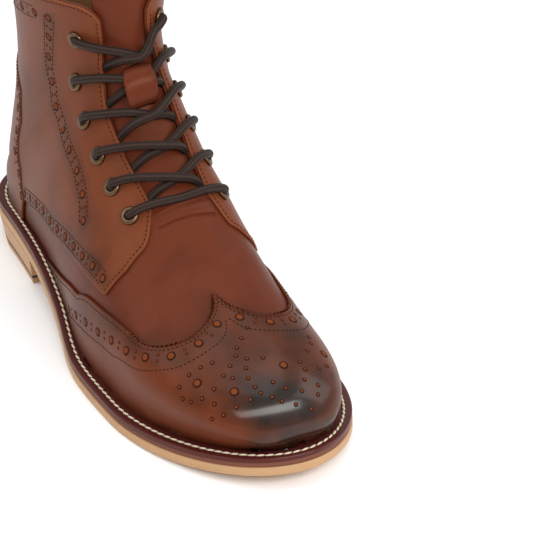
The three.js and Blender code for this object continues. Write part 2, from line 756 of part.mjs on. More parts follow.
// Pull tab hanging from its pin, round at the lower end with a hole to grip
function zipPull() {
  const half = sliderWidth / 2 - earThickness - clearance;
  const outlineShape = new THREE.Shape();
  outlineShape.moveTo(-half, 0);
  outlineShape.lineTo(-half, half - pullLength);
  outlineShape.absarc(0, half - pullLength, half, Math.PI, 2 * Math.PI);
  outlineShape.lineTo(half, 0);
  outlineShape.closePath();
  const grip = new THREE.Path();
  grip.absarc(0, half - pullLength, half / 2, 0, 2 * Math.PI, true);
  outlineShape.holes.push(grip);
  const tab = new THREE.ExtrudeGeometry(outlineShape, {
    depth: pullThickness,
    bevelEnabled: false,
    curveSegments: pinSides / 2,
  });
  tab.translate(0, 0, -pullThickness / 2).rotateX(Math.PI / 2);
  const pin = roundPin(pinDiameter, sliderWidth - earThickness);
  return joinAll([tab, pin].map((piece) => withoutExtras(piece.translate(...pinCentre.toArray()))));
}

const eyeletNumbers = eyeletSections.map((_, i) => i);
const holesOn = (name) => eyeletNumbers.map((i) => eyeletHole(i, name));
const holes = { lateral: holesOn("lateral"), medial: holesOn("medial") };

const leatherBrown = { color: 0x7d4a38, roughness: 0.42, metalness: 0 };
const finishes = {
  leather: leatherBrown,
  vamp: { ...leatherBrown, color: 0x74412f },
  toe: { ...leatherBrown, color: 0x5a3529, roughness: 0.3 },
  lace: { color: 0x3a302c, roughness: 0.8, metalness: 0 },
  brass: { color: 0x8f7a4e, roughness: 0.35, metalness: 1 },
  welt: { color: 0x33201f, roughness: 0.5, metalness: 0 },
  midsole: { color: 0x8a6558, roughness: 0.7, metalness: 0 },
  outsole: { color: 0xc08a5a, roughness: 0.6, metalness: 0 },
  heel: { color: 0xcfa07a, roughness: 0.6, metalness: 0 },
  rubber: { color: 0x57504c, roughness: 0.8, metalness: 0 },
  insole: { color: 0xb58a63, roughness: 0.8, metalness: 0 },
  tape: { color: 0x2b1d18, roughness: 0.7, metalness: 0 },
};
const materials = Object.fromEntries(
  Object.entries(finishes).map(([name, finish]) => [name, new THREE.MeshStandardMaterial(finish)]),
);

const group = new THREE.Group();

function add(name, finish, geometry) {
  const mesh = new THREE.Mesh(geometry, materials[finish]);
  mesh.name = name;
  group.add(mesh);
}

// Heights of the layers above the outsole's underside
const midsoleLow = outsoleThickness + clearance;
const weltLow = midsoleLow + midsoleThickness + clearance;
const lineLow = liftThickness + clearance;
const stackLow = lineLow + heelLineThickness + clearance;

const insoleInset = (x) => ledge(x) - upperInner + insoleSeat;
const insoleBack = heelTuck - upperInner + insoleSeat;
const insoleFront = toeFeather + upperInner - insoleSeat;
const fillerInset = weltWidth + weltInset + clearance;

const midsoleFront = soleLength - midsoleInset;
const midsoleHigh = midsoleLow + midsoleThickness;
const insoleLow = bedHeight + clearance;

add("outsole", "outsole", soleSlab(0, 0, soleLength, 0, outsoleThickness, edgeBevel));
add("midsole", "midsole", soleSlab(midsoleInset, midsoleInset, midsoleFront, midsoleLow, midsoleHigh));
add("welt", "welt", weltStrip(weltInset, weltInset + weltWidth, weltLow, bedHeight));
add("heel_stack", "heel", heelLayer(stackLow, heelRise - clearance));
add("heel_line", "rubber", heelLayer(lineLow, lineLow + heelLineThickness));
add("heel_lift", "heel", heelLayer(0, liftThickness));
add("insole", "insole", joinAll([
  soleSlab(insoleInset, insoleBack, insoleFront, insoleLow, insoleLow + insoleThickness),
  soleSlab(fillerInset, fillerInset, soleLength - fillerInset, weltLow, bedHeight + insoleThickness / 2),
]));
add("upper", "vamp", cutAll(lastForm(upperOuter, upperInner), [...holes.lateral, ...holes.medial]));
add("wing_cap", "toe", wingCap());
add("quarter_lateral", "leather", cutAll(quarter(sides.lateral), holes.lateral));
add("quarter_medial", "leather", quarterMedial(holes.medial));
add("counter", "leather", counter());
add("tongue", "leather", tongue());
add("lace_keeper", "leather", laceKeeper());
for (const name of Object.keys(sides)) {
  for (const i of eyeletNumbers) add(`eyelet_${name}_${i + 1}`, "brass", eyelet(i, name));
}
add("lace_bar", "lace", laceBar());
crossingSections.forEach((_, i) => add(`lace_cross_${i + 1}`, "lace", laceCrossing(i)));
add("zip_chain", "tape", zipChain());
add("zip_slider", "brass", zipSlider());
add("zip_pull", "brass", zipPull());

export default group;
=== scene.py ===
"""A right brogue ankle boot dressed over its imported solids: leather, holes, stitches, laces and zip."""

import logging
import math
from dataclasses import dataclass, field
from enum import Enum
from functools import partial
from typing import Callable, Optional, Sequence

import bmesh
import bpy
import numpy as np
from bmesh.types import BMesh, BMVert
from bpy.types import ID, Material, Node, NodeSocket, NodeTree, Object
from mathutils import Matrix, Vector


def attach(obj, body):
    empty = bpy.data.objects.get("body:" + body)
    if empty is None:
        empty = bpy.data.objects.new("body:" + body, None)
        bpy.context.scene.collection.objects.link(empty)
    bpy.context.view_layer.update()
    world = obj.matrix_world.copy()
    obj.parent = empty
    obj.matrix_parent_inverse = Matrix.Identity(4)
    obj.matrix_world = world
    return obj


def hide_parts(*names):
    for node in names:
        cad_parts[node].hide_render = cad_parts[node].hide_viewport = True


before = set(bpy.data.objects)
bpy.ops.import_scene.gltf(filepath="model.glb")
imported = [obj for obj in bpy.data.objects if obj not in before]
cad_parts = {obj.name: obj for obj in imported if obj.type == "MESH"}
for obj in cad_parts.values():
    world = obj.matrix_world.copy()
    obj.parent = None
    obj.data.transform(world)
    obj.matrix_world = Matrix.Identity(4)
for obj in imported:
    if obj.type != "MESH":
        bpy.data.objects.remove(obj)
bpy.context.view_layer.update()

log = logging.getLogger("boot")
BODY = "boot"
# Metres: a millimetre, and how near corners are joined
MM = 0.001
WELD = 1e-6
# Millimetres: stitches above the leather, steps along a seam and a cord, patches of tone, pinking
STITCH_LIFT = 0.08
SEAM_STEP = 0.8
CORD_STEP = 0.7
CLOUD_SIZE = 20
TOOTH = 2.3
# Degrees beyond which an edge stays crisp, and the section of the throat's foot
SHARP_ANGLE = 35
THROAT_FOOT = 8.3
# Shine of every finish that isn't metal
COAT_ROUGHNESS = 0.17
LEAST_COAT = 0.03
SPECULAR = 0.16
# Bands of the wave texture in one unit
BANDS = 3.2
# The outer and the inner side, by the sign of the share across
SIDES = {"lateral": -1.0, "medial": 1.0}
Array = np.ndarray
Corners = list[BMVert]
Table = Sequence[tuple[float, float]]
Skin = Callable[[Array, Array], Array]
Region = Callable[[Array, Array], tuple[Array, Array]]


# Curves and numbers


def smooth(value: Array) -> Array:
    """Eased step from 0 to 1."""
    t = np.clip(value, 0.0, 1.0)
    return t * t * (3.0 - 2.0 * t)


def mix(low: Array, high: Array, share: Array) -> Array:
    """Value between low and high."""
    return low + (high - low) * share


def through(table: Table, place: Array) -> Array:
    """Smooth curve through a table of (place, value) pairs, held at its ends.

    Args:
        table: the pairs, in rising order of place.
        place: where to read the curve.

    Returns:
        The curve's values at place.
    """
    xs, ys = np.array(table, float).T
    slope = np.diff(ys) / np.diff(xs)
    tangent = np.concatenate([slope[:1], slope[:1].repeat(len(xs) - 2), slope[-1:]])
    before, after = np.diff(xs)[:-1], np.diff(xs)[1:]
    tangent[1:-1] = (slope[:-1] * after + slope[1:] * before) / (before + after)
    at = np.asarray(place, float)
    i = np.clip(np.searchsorted(xs, at, side="right") - 1, 0, len(xs) - 2)
    span = xs[i + 1] - xs[i]
    t = np.clip((at - xs[i]) / span, 0.0, 1.0)
    start = (1 + 2 * t) * (1 - t) ** 2 * ys[i] + t * (1 - t) ** 2 * span * tangent[i]
    return start + t * t * (3 - 2 * t) * ys[i + 1] + t * t * (t - 1) * span * tangent[i + 1]


def along(table: Table, place: Array) -> Array:
    """Straight lines through a table of (place, value) pairs."""
    xs, ys = np.array(table, float).T
    return np.interp(place, xs, ys)


def zigzag(distance: Array, pitch: float) -> Array:
    """Triangle wave between -0.5 and 0.5 for a pinked edge."""
    return 2.0 * np.abs((distance / pitch) % 1.0 - 0.5) - 0.5


def bell(value: Array, width: float, power: float = 2) -> Array:
    """Falls off from 1 where the value is 0."""
    return np.exp(-((value / width) ** power))


def distances(path: Array, least: float = 0.0) -> Array:
    """How far along a path its points lie, with a least amount added to each step."""
    return np.concatenate([[0], np.cumsum(np.linalg.norm(np.diff(path, axis=0), axis=1) + least)])


def read(values: Array, far: Array, place: Array) -> Array:
    """Rows of values between the rows that lie at the distances far."""
    return np.stack([np.interp(place, far, column) for column in values.T], axis=-1)


def unit(vectors: Array) -> Array:
    """The same directions at length 1."""
    return vectors / np.maximum(np.linalg.norm(vectors, axis=-1, keepdims=True), 1e-9)


def even(value: float) -> Skin:
    """A skin or a shade that is the same all over."""
    return lambda section, across: np.full_like(section, value)


# The last, in millimetres


@dataclass(frozen=True)
class Sole:
    """Outline and underside of the sole, in millimetres from the back of the heel."""

    length: float = 305.0
    ball_width: float = 107.0
    heel_width: float = 70.0
    heel_rise: float = 17.0
    toe_spring: float = 10.0
    heel_length: float = 80.0
    tread_start: float = 175.0
    tread_end: float = 215.0
    heel_round: float = 38.0
    toe_round: float = 90.0
    bed_height: float = 10.0
    blend: Table = ((0, 0), (0.125, 0), (0.285, 0.027), (0.416, 0.162), (0.551, 0.649), (0.682, 1), (1, 1))
    middle: Table = (
        (0, 0.009), (0.125, 0), (0.285, -0.042), (0.416, -0.075), (0.551, -0.079), (0.682, -0.028),
        (0.8, 0.016), (0.898, 0.037), (1, 0.045),
    )

    def centre(self, x: Array) -> Array:
        """Centre line of the sole, positive to the inner side."""
        return self.ball_width * through(self.middle, x / self.length)

    def half(self, x: Array, inset: Array, back: float, front: float) -> Array:
        """Half width of the outline drawn in by an inset, round at heel and toe."""
        full = mix(self.heel_width, self.ball_width, through(self.blend, x / self.length)) / 2
        heel = np.clip((back + self.heel_round - x) / self.heel_round, 0, 1)
        toe = np.clip((x - front + self.toe_round) / self.toe_round, 0, 1)
        return (full - inset) * np.sqrt(1 - heel * heel) * np.sqrt(1 - toe * toe)

    def underside(self, x: Array) -> Array:
        """Height of the outsole's underside: heel seat, arch, tread and toe spring."""
        arch = self.heel_rise * (1 - smooth((x - self.heel_length) / (self.tread_start - self.heel_length)))
        spring = np.clip((x - self.tread_end) / (self.length - self.tread_end), 0, 1)
        return arch + self.toe_spring * spring * spring

    def rim(self, turn: Array, inset: Array) -> tuple[Array, Array]:
        """Points of the outline drawn in by an inset, all the way round.

        Args:
            turn: 0 at the heel, 0.5 at the toe by the outer side, 1 back at the heel.
            inset: distance inside the sole's outline.

        Returns:
            Distances from the back of the heel, and sideways.
        """
        share = 1 - np.abs(1 - 2 * turn)
        side = np.where(turn <= 0.5, -1.0, 1.0)
        x = mix(inset, self.length - inset, (1 - np.cos(np.pi * share)) / 2)
        return x, self.centre(x) + side * self.half(x, inset, inset, self.length - inset)


@dataclass(frozen=True)
class Last:
    """The form the leather is pulled over, by section, share across the ridge and offset.

    The rows are sections from the toe to the collar, their columns shares of the lengths above them.
    """

    sole: Sole = Sole()
    ball_width: float = 107.0
    shaft_width: float = 71.6
    shaft_rise: float = 162.5
    heel_ledge: float = 4.7
    ball_ledge: float = 7.2
    heel_tuck: float = 6.5
    toe_tuck: float = 7.8
    feather_gap: float = 0.5
    heel_section: float = 14.0
    heel_centre: float = 40.0
    fullness: float = 0.89
    ledge_from: float = 110.0
    ledge_over: float = 90.0
    round_from: float = 12.5
    round_over: float = 1.5
    split: float = 0.5
    top_section: float = 19.0
    columns: tuple = ("top", "height", "foot", "climb", "swell", "belly", "lean", "back")
    rows: tuple = (
        (0.974, 0.013, 0.974, 0, 0, 0.5, 0.045, 0), (0.976, 0.059, 0.958, 0, 0.009, 0.5, 0.036, 0),
        (0.968, 0.111, 0.936, 0, 0.013, 0.5, 0.022, 0), (0.946, 0.17, 0.904, 0, 0.016, 0.5, 0.003, 0),
        (0.905, 0.223, 0.859, 0, 0.015, 0.48, -0.019, 0), (0.849, 0.268, 0.805, 0, 0.011, 0.45, -0.035, 0),
        (0.777, 0.31, 0.738, 0, 0.007, 0.42, -0.041, 0), (0.698, 0.372, 0.666, 0, 0.012, 0.4, -0.025, 0),
        (0.63, 0.452, 0.584, 0, 0.034, 0.38, 0.005, 0), (0.57, 0.527, 0.492, 0, 0.054, 0.36, 0.029, 0),
        (0.521, 0.572, 0.4, 0, 0.062, 0.34, 0.036, 0), (0.485, 0.614, 0.302, 0, 0.06, 0.33, 0.039, 0),
        (0.462, 0.671, 0.203, 0, 0.056, 0.33, 0.041, 0), (0.448, 0.723, 0.105, 0, 0.049, 0.35, 0.044, 0),
        (0.439, 0.766, 0.0213, 0, 0.936, 0.4, 0.046, 0.014),
        (0.434, 0.806, 0.008, 0.129, 0.885, 0.42, 0.047, 0.037),
        (0.43, 0.846, 0.016, 0.295, 0.844, 0.45, 0.048, 0.051),
        (0.429, 0.892, 0.039, 0.48, 0.866, 0.48, 0.048, 0.047),
        (0.427, 0.945, 0.056, 0.665, 0.933, 0.5, 0.049, 0.042),
        (0.426, 1, 0.059, 0.849, 1, 0.5, 0.049, 0.042),
    )
    throat_lateral: Table = (
        (8.3, 0.905), (8.9, 0.896), (9.4, 0.88), (10, 0.86), (11, 0.842), (12.4, 0.836), (14, 0.842),
        (17.2, 0.832),
    )
    throat_medial: Table = (
        (8.3, 0.885), (8.9, 0.9), (9.4, 0.904), (10.3, 0.9), (11.7, 0.904), (13.4, 0.916), (15.8, 0.944),
        (17.2, 0.944),
    )
    collar: Table = (
        (0, 18.9), (0.35, 18.85), (0.7, 18.4), (0.86, 18.05), (0.94, 17.7), (0.98, 17.3), (1, 16.9),
    )

    def ledge(self, x: Array) -> Array:
        """Width of welt that shows beside the upper."""
        return mix(self.heel_ledge, self.ball_ledge, smooth((x - self.ledge_from) / self.ledge_over))

    def column(self, name: str) -> Array:
        """One column of the section table."""
        return np.array(self.rows)[:, self.columns.index(name)]

    def value(self, name: str, section: Array) -> Array:
        """One column of the section table, read between its sections."""
        return through(list(enumerate(self.column(name))), section)

    def surface(self, section: Array, across: Array) -> Array:
        """Points on the outer leather.

        Args:
            section: 0 at the toe, 14 at the back of the heel, 19 at the collar.
            across: 0 on the ridge, -1 and 1 at the feather line or back seam of the outer and inner side.

        Returns:
            Points in millimetres in the boot's frame.
        """
        section, across = np.broadcast_arrays(np.asarray(section, float), np.asarray(across, float))
        side = np.where(across < 0, -1.0, 1.0)
        height = 1 - np.abs(across)
        front = self.sole.length - self.toe_tuck
        on_bed = section <= self.heel_section
        foot = self.value("foot", section) * self.sole.length
        foot = np.where(on_bed, np.clip(foot, self.heel_tuck, front), foot)
        feather = self.sole.half(foot, self.ledge(foot), self.heel_tuck, front)
        feather = np.where(on_bed, feather, 0.0)
        feet = np.clip(self.column("foot") * self.sole.length, self.heel_tuck, front)
        lows = self.sole.half(feet, self.ledge(feet), self.heel_tuck, front)
        swell = self.column("swell")
        in_foot = np.arange(len(swell)) < self.heel_section
        widths = np.where(in_foot, lows + swell * self.ball_width, swell * self.shaft_width / 2)
        wide = np.maximum(through(list(enumerate(widths)), section), feather)
        top = self.value("top", section) * self.sole.length
        bed = self.sole.underside(np.maximum(foot, self.heel_tuck)) + self.sole.bed_height
        heel_bed = self.sole.underside(np.array(self.heel_tuck)) + self.sole.bed_height
        climb = np.maximum(self.value("climb", section), 0) * self.shaft_rise
        low = np.where(on_bed, bed, heel_bed + climb)
        high = bed + self.value("height", section) * self.shaft_rise
        belly = self.value("belly", section)
        split = self.split
        under = height < split
        angle = np.where(under, height / split, (height - split) / (1 - split)) * np.pi / 2
        roundness = smooth((section - self.round_from) / self.round_over)
        lower = belly * mix(height / split, 1 - np.cos(angle), roundness)
        reach_low = mix(feather, wide, np.sin(angle))
        reach = np.where(under, reach_low, wide * np.maximum(np.cos(angle), 0) ** self.fullness)
        share = np.where(under, lower, mix(belly, 1, np.sin(angle)))
        back = self.sole.centre(foot) + self.value("back", section) * self.ball_width
        lean = self.value("lean", section) * self.ball_width
        return np.stack(
            [
                mix(foot, top, share) - self.heel_centre,
                mix(back, lean, share) + side * reach,
                mix(low, high, share) + self.feather_gap,
            ],
            axis=-1,
        )

    def directions(self, section: Array, across: Array) -> tuple[Array, Array, Array]:
        """How the surface runs by section and across, and its outward direction."""
        section, across = np.broadcast_arrays(np.asarray(section, float), np.asarray(across, float))
        step = 1e-3
        low, high = (np.clip(section + way * step, 0, self.top_section) for way in (-1, 1))
        by_section = (self.surface(high, across) - self.surface(low, across)) / (high - low)[..., None]
        side = np.where(across < 0, -1.0, 1.0)
        height = 1 - np.abs(across)
        down, up = np.clip(height - step, 0, 1), np.clip(height + step, 0, 1)
        rise = self.surface(section, side * (1 - up)) - self.surface(section, side * (1 - down))
        by_across = -side[..., None] * rise / (up - down)[..., None]
        normal = unit(np.cross(by_section, rise) * side[..., None])
        ridge = height > 0.999
        seam = (section <= 0) | ((height <= 0) & (section >= self.heel_section)) | ridge
        normal[..., 1] = np.where(seam, 0, normal[..., 1])
        return by_section, by_across, unit(normal)

    def point(self, section: Array, across: Array, offset: Array = 0.0) -> Array:
        """Points at an offset outwards from the outer leather."""
        normal = self.directions(section, across)[2]
        return self.surface(section, across) + normal * np.asarray(offset, float)[..., None]

    def throat(self, section: Array, side: float) -> Array:
        """Height share of the facing's edge beside the throat."""
        return through(self.throat_lateral if side < 0 else self.throat_medial, section)


LAST = Last()
SOLE = LAST.sole


@dataclass
class Line:
    """A line drawn on the last, measured along itself in millimetres."""

    points: Sequence[tuple[float, float]]
    spacing: float = 0.5
    calmed: float = 2.0
    rounds: int = 4
    length: float = field(init=False)

    def __post_init__(self) -> None:
        """Lays the line through its points and measures it."""
        table = np.array(self.points, float)
        ground = LAST.surface(table[:, 0], table[:, 1])
        chord = distances(ground, 1e-6)
        fine = np.linspace(0, chord[-1], 60 * len(table))
        section = through(list(zip(chord, table[:, 0])), fine)
        across = through(list(zip(chord, table[:, 1])), fine)
        far = distances(LAST.surface(section, across))
        self.length = float(far[-1])
        self.far = np.linspace(0, self.length, max(int(self.length / self.spacing), 4))
        self.section = np.interp(self.far, far, section)
        self.across = np.interp(self.far, far, across)
        normal = LAST.directions(self.section, self.across)[2]
        run = unit(np.gradient(LAST.surface(self.section, self.across), axis=0))
        self.aside = np.stack([self.calm(column) for column in np.cross(normal, run).T], axis=1)

    def calm(self, values: Array) -> Array:
        """Running mean over a few millimetres, so that lines beside this one don't fold at its bends."""
        reach = int(self.calmed / self.spacing)
        padded = np.pad(values, reach, mode="edge")
        return np.convolve(padded, np.full(2 * reach + 1, 1 / (2 * reach + 1)), mode="valid")

    def at(self, far: Array, aside: Array = 0.0) -> tuple[Array, Array]:
        """Section and across of places along the line.

        Args:
            far: distance along the line in millimetres.
            aside: distance to its left, seen from outside, in millimetres.

        Returns:
            Sections and shares across.
        """
        section = np.interp(far, self.far, self.section)
        across = np.interp(far, self.far, self.across)
        if not np.any(aside):
            return section, across
        way = read(self.aside, self.far, far)
        goal = LAST.surface(section, across) + way * np.asarray(aside, float)[..., None]
        for _ in range(self.rounds):
            by_section, by_across, _ = LAST.directions(section, across)
            miss = goal - LAST.surface(section, across)
            squares = (by_section * by_section).sum(-1)
            crossed = (by_section * by_across).sum(-1)
            other = (by_across * by_across).sum(-1)
            first = (by_section * miss).sum(-1)
            second = (by_across * miss).sum(-1)
            spread = np.maximum(squares * other - crossed * crossed, 1e-6)
            section = np.clip(section + (first * other - second * crossed) / spread, 0, LAST.top_section)
            across = np.clip(across + (second * squares - first * crossed) / spread, -1, 1)
        return section, across


# Meshes


def add_object(name: str, data: ID) -> Object:
    """Adds an object to the scene."""
    obj = bpy.data.objects.new(name, data)
    bpy.context.scene.collection.objects.link(obj)
    return obj


def finish_mesh(name: str, bm: BMesh, shaded: bool = True) -> Object:
    """Turns a bmesh into an object that rides on the boot.

    Args:
        name: the piece's name.
        bm: the mesh, freed here.
        shaded: whether its faces are shaded smooth.

    Returns:
        The new object.
    """
    mesh = bpy.data.meshes.new(name)
    bm.to_mesh(mesh)
    bm.free()
    if shaded:
        mesh.shade_smooth()
    obj = add_object(name, mesh)
    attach(obj, BODY)
    log.info("%s: %d faces", name, len(mesh.polygons))
    return obj


def new_grid(bm: BMesh, columns: int, rows: int) -> tuple[Corners, Array, Array]:
    """Adds a grid of faces, to be laid where it belongs.

    Args:
        bm: the mesh to add to.
        columns: count of faces along.
        rows: count of faces across.

    Returns:
        Its corners, and their shares along and across.
    """
    corners = bmesh.ops.create_grid(bm, x_segments=columns, y_segments=rows, size=0.5)["verts"]
    count = np.array([columns, rows, 1])
    shares = np.round((np.array([corner.co[:] for corner in corners]) + 0.5) * count) / count
    return corners, shares[:, 0], shares[:, 1]


def lay(corners: Corners, points: Array) -> None:
    """Moves corners to points in millimetres."""
    for corner, point in zip(corners, points * MM):
        corner.co = point


def sheet_on_last(
    name: str,
    patches: Sequence[tuple[int, int, Region]],
    offset: Skin,
    thickness: float,
    burnish_and_hole_shade: Skin = even(0.0),
) -> Object:
    """A leather sheet on the last, thickened inwards.

    Args:
        name: the piece's name.
        patches: faces along, faces across, and a function of the shares that gives section and across.
        offset: height of the sheet's outside above the last in millimetres.
        thickness: the sheet's thickness in millimetres.
        burnish_and_hole_shade: darkness from 0 to 1, from burnish and from painted shade along the punched
            strips.

    Returns:
        The new object.
    """
    bm = bmesh.new()
    dark = bm.verts.layers.float.new("burnish_and_hole_shade")
    for columns, rows, where in patches:
        corners, u, v = new_grid(bm, columns, rows)
        section, across = where(u, v)
        lay(corners, LAST.point(section, across, offset(section, across)))
        for corner, value in zip(corners, burnish_and_hole_shade(section, across)):
            corner[dark] = float(value)
        bm.normal_update()
        outward = LAST.directions(section, across)[2]
        agreement = sum(corner.normal.dot(Vector(way)) for corner, way in zip(corners, outward))
        if agreement < 0:
            own = set(corners)
            bmesh.ops.reverse_faces(bm, faces=[face for face in bm.faces if face.verts[0] in own])
    bmesh.ops.remove_doubles(bm, verts=bm.verts, dist=20 * WELD)
    obj = finish_mesh(name, bm)
    wall = obj.modifiers.new("wall", "SOLIDIFY")
    wall.thickness = thickness * MM
    wall.offset = -1
    return obj


def closed_form(name: str, bm: BMesh, ended: bool) -> Object:
    """Joins a laid grid at its seam and turns its faces outwards.

    Args:
        name: the piece's name.
        bm: the mesh, freed here.
        ended: whether it has open ends to be filled.

    Returns:
        The new object.
    """
    bmesh.ops.remove_doubles(bm, verts=bm.verts, dist=WELD)
    if ended:
        bmesh.ops.holes_fill(bm, edges=[edge for edge in bm.edges if edge.is_boundary])
    bmesh.ops.recalc_face_normals(bm, faces=bm.faces)
    return finish_mesh(name, bm)


def swept(name: str, stations: int, profile: Sequence, place: Callable, ended: bool) -> Object:
    """A closed form swept from a profile.

    Args:
        name: the piece's name.
        stations: count of steps along the sweep.
        profile: the rows of numbers that place takes, one for each corner of the profile.
        place: gives points in millimetres from the shares along and the profile's rows.
        ended: whether the sweep has two ends, or else closes on itself.

    Returns:
        The new object.
    """
    bm = bmesh.new()
    rows = np.array(profile, float)
    corners, u, v = new_grid(bm, stations, len(rows))
    lay(corners, place(u, rows[np.round(v * len(rows)).astype(int) % len(rows)]))
    return closed_form(name, bm, ended)


def sharpen(obj: Object) -> None:
    """Keeps edges crisp where faces meet at more than an angle."""
    obj.data.set_sharp_from_angle(angle=math.radians(SHARP_ANGLE))


def oriented(point: Array, run: Array, up: Array) -> Matrix:
    """Matrix that stands X along run and Z along up at a point in millimetres."""
    x_axis = Vector(run).normalized()
    y_axis = Vector(up).normalized().cross(x_axis).normalized()
    turn = Matrix((x_axis, y_axis, x_axis.cross(y_axis))).transposed().to_4x4()
    return Matrix.Translation(Vector(point) * MM) @ turn


def standing(section: float, across: float, height: float) -> Matrix:
    """Matrix of a place above the last, with X towards the collar and Z outwards."""
    place = np.array([section]), np.array([across])
    run, _, up = (values[0] for values in LAST.directions(*place))
    return oriented(LAST.point(*place, np.array([height]))[0], run, up)


@dataclass(frozen=True)
class Stitch:
    """Size of a rounded stitch and its pitch in millimetres, and its slant off the row in degrees."""

    pitch: float
    length: float
    width: float
    height: float
    slant: float = 0.0

    def sew(self, bm: BMesh, path: Array, ups: Array,
            run: Optional[Array] = None, start: float = 0.0) -> None:
        """Adds stitches along a path.

        Args:
            bm: the mesh to add to.
            path: points in millimetres.
            ups: outward directions at those points.
            run: directions that the stitches lie in, along the path unless given.
            start: distance of the first stitch from the path's start, half a pitch unless given.
        """
        far = distances(path)
        run = np.gradient(path, axis=0) if run is None else run
        size = Matrix.Diagonal((self.length * MM, self.width * MM, self.height * MM, 1.0))
        shape = Matrix.Rotation(math.radians(self.slant), 4, "Z") @ size
        for place in np.arange(start or self.pitch / 2, far[-1], self.pitch):
            turn = oriented(*(read(values, far, place) for values in (path, run, ups)))
            bmesh.ops.create_icosphere(bm, subdivisions=1, radius=0.5, matrix=turn @ shape)


UPPER_STITCH = Stitch(2.3, 1.7, 0.6, 0.45)
KEEPER_STITCH = Stitch(2.0, 1.5, 0.5, 0.4)
WELT_STITCH = Stitch(4.3, 5.0, 1.5, 1.1, 10)
ZIP_TOOTH = Stitch(1.3, 2.2, 0.75, 0.8)


def stitched_line(bm: BMesh, line: Line, aside: float, skin: Skin) -> None:
    """Adds a row of fine stitches beside a line on the last.

    Args:
        bm: the mesh to add to.
        line: the line on the last.
        aside: distance of the row to the line's left in millimetres.
        skin: height of the leather above the last by section and across.
    """
    section, across = line.at(np.arange(0, line.length, SEAM_STEP), aside)
    path = LAST.point(section, across, skin(section, across) + STITCH_LIFT)
    UPPER_STITCH.sew(bm, path, LAST.directions(section, across)[2])


def tube(name: str, path: Array, radius: float, around: int = 12) -> Object:
    """A round cord along a path, with a UV map that runs along and around it.

    Args:
        name: the piece's name.
        path: points in millimetres that the cord's middle follows.
        radius: the cord's radius in millimetres.
        around: count of faces around.

    Returns:
        The new object.
    """
    chord = distances(path)
    steps = max(int(chord[-1] / CORD_STEP), 12) - 1
    fine = np.linspace(0, chord[-1], steps + 1)
    curve = np.stack([through(list(zip(chord, column)), fine) for column in path.T], axis=1)
    run = unit(np.gradient(curve, axis=0))
    ups = [unit(np.cross(run[0], (0.3, 0.2, 0.9)))]
    for way in run[1:]:
        ups.append(unit(ups[-1] - way * ups[-1].dot(way)))
    up = np.array(ups)
    aside = np.cross(run, up)
    bm = bmesh.new()
    uv = bm.loops.layers.uv.new("along")
    corners, u, v = new_grid(bm, steps, around)
    where = {corner: (share * chord[-1] * MM, turn) for corner, share, turn in zip(corners, u, v)}
    for loop in (loop for face in bm.faces for loop in face.loops):
        loop[uv].uv = where[loop.vert]
    station = np.round(u * steps).astype(int)
    turn = 2 * np.pi * v[:, None]
    lay(corners, curve[station] + radius * (np.cos(turn) * up[station] + np.sin(turn) * aside[station]))
    return closed_form(name, bm, True)


# Materials


def linear(code: str) -> tuple[float, float, float, float]:
    """Linear colour from an sRGB hex value."""
    parts = np.array([int(code[i : i + 2], 16) / 255 for i in (1, 3, 5)])
    parts = np.where(parts <= 0.04045, parts / 12.92, ((parts + 0.055) / 1.055) ** 2.4)
    return (*parts.tolist(), 1.0)


def add_node(tree: NodeTree, kind: str, links: dict, **settings: object) -> Node:
    """Adds a node with its settings and links.

    Args:
        tree: the material's nodes.
        kind: Blender's name of the node type.
        links: input name or number to a value or another node's output.
        settings: properties of the node.

    Returns:
        The new node.
    """
    node = tree.nodes.new(kind)
    for name, value in settings.items():
        setattr(node, name, value)
    for name, value in links.items():
        if isinstance(value, NodeSocket):
            tree.links.new(value, node.inputs[name])
        else:
            node.inputs[name].default_value = value
    return node


def calculate(tree: NodeTree, operation: str, *values: object, clamp: bool = False) -> NodeSocket:
    """Result of a math node over values or other nodes' outputs."""
    node = add_node(tree, "ShaderNodeMath", dict(enumerate(values)), operation=operation, use_clamp=clamp)
    return node.outputs[0]


def noise(tree: NodeTree, place: NodeSocket, size: float, detail: float) -> NodeSocket:
    """Cloudy values whose patches have a size in millimetres."""
    links = {"Vector": place, "Scale": 1 / (size * MM), "Detail": detail}
    return add_node(tree, "ShaderNodeTexNoise", links).outputs["Fac"]


class Pattern(Enum):
    """What a finish shows close up."""

    GRAIN = "grain"
    BRAID = "braid"
    LAYERS = "layers"
    METAL = "metal"
    WEAVE = "weave"


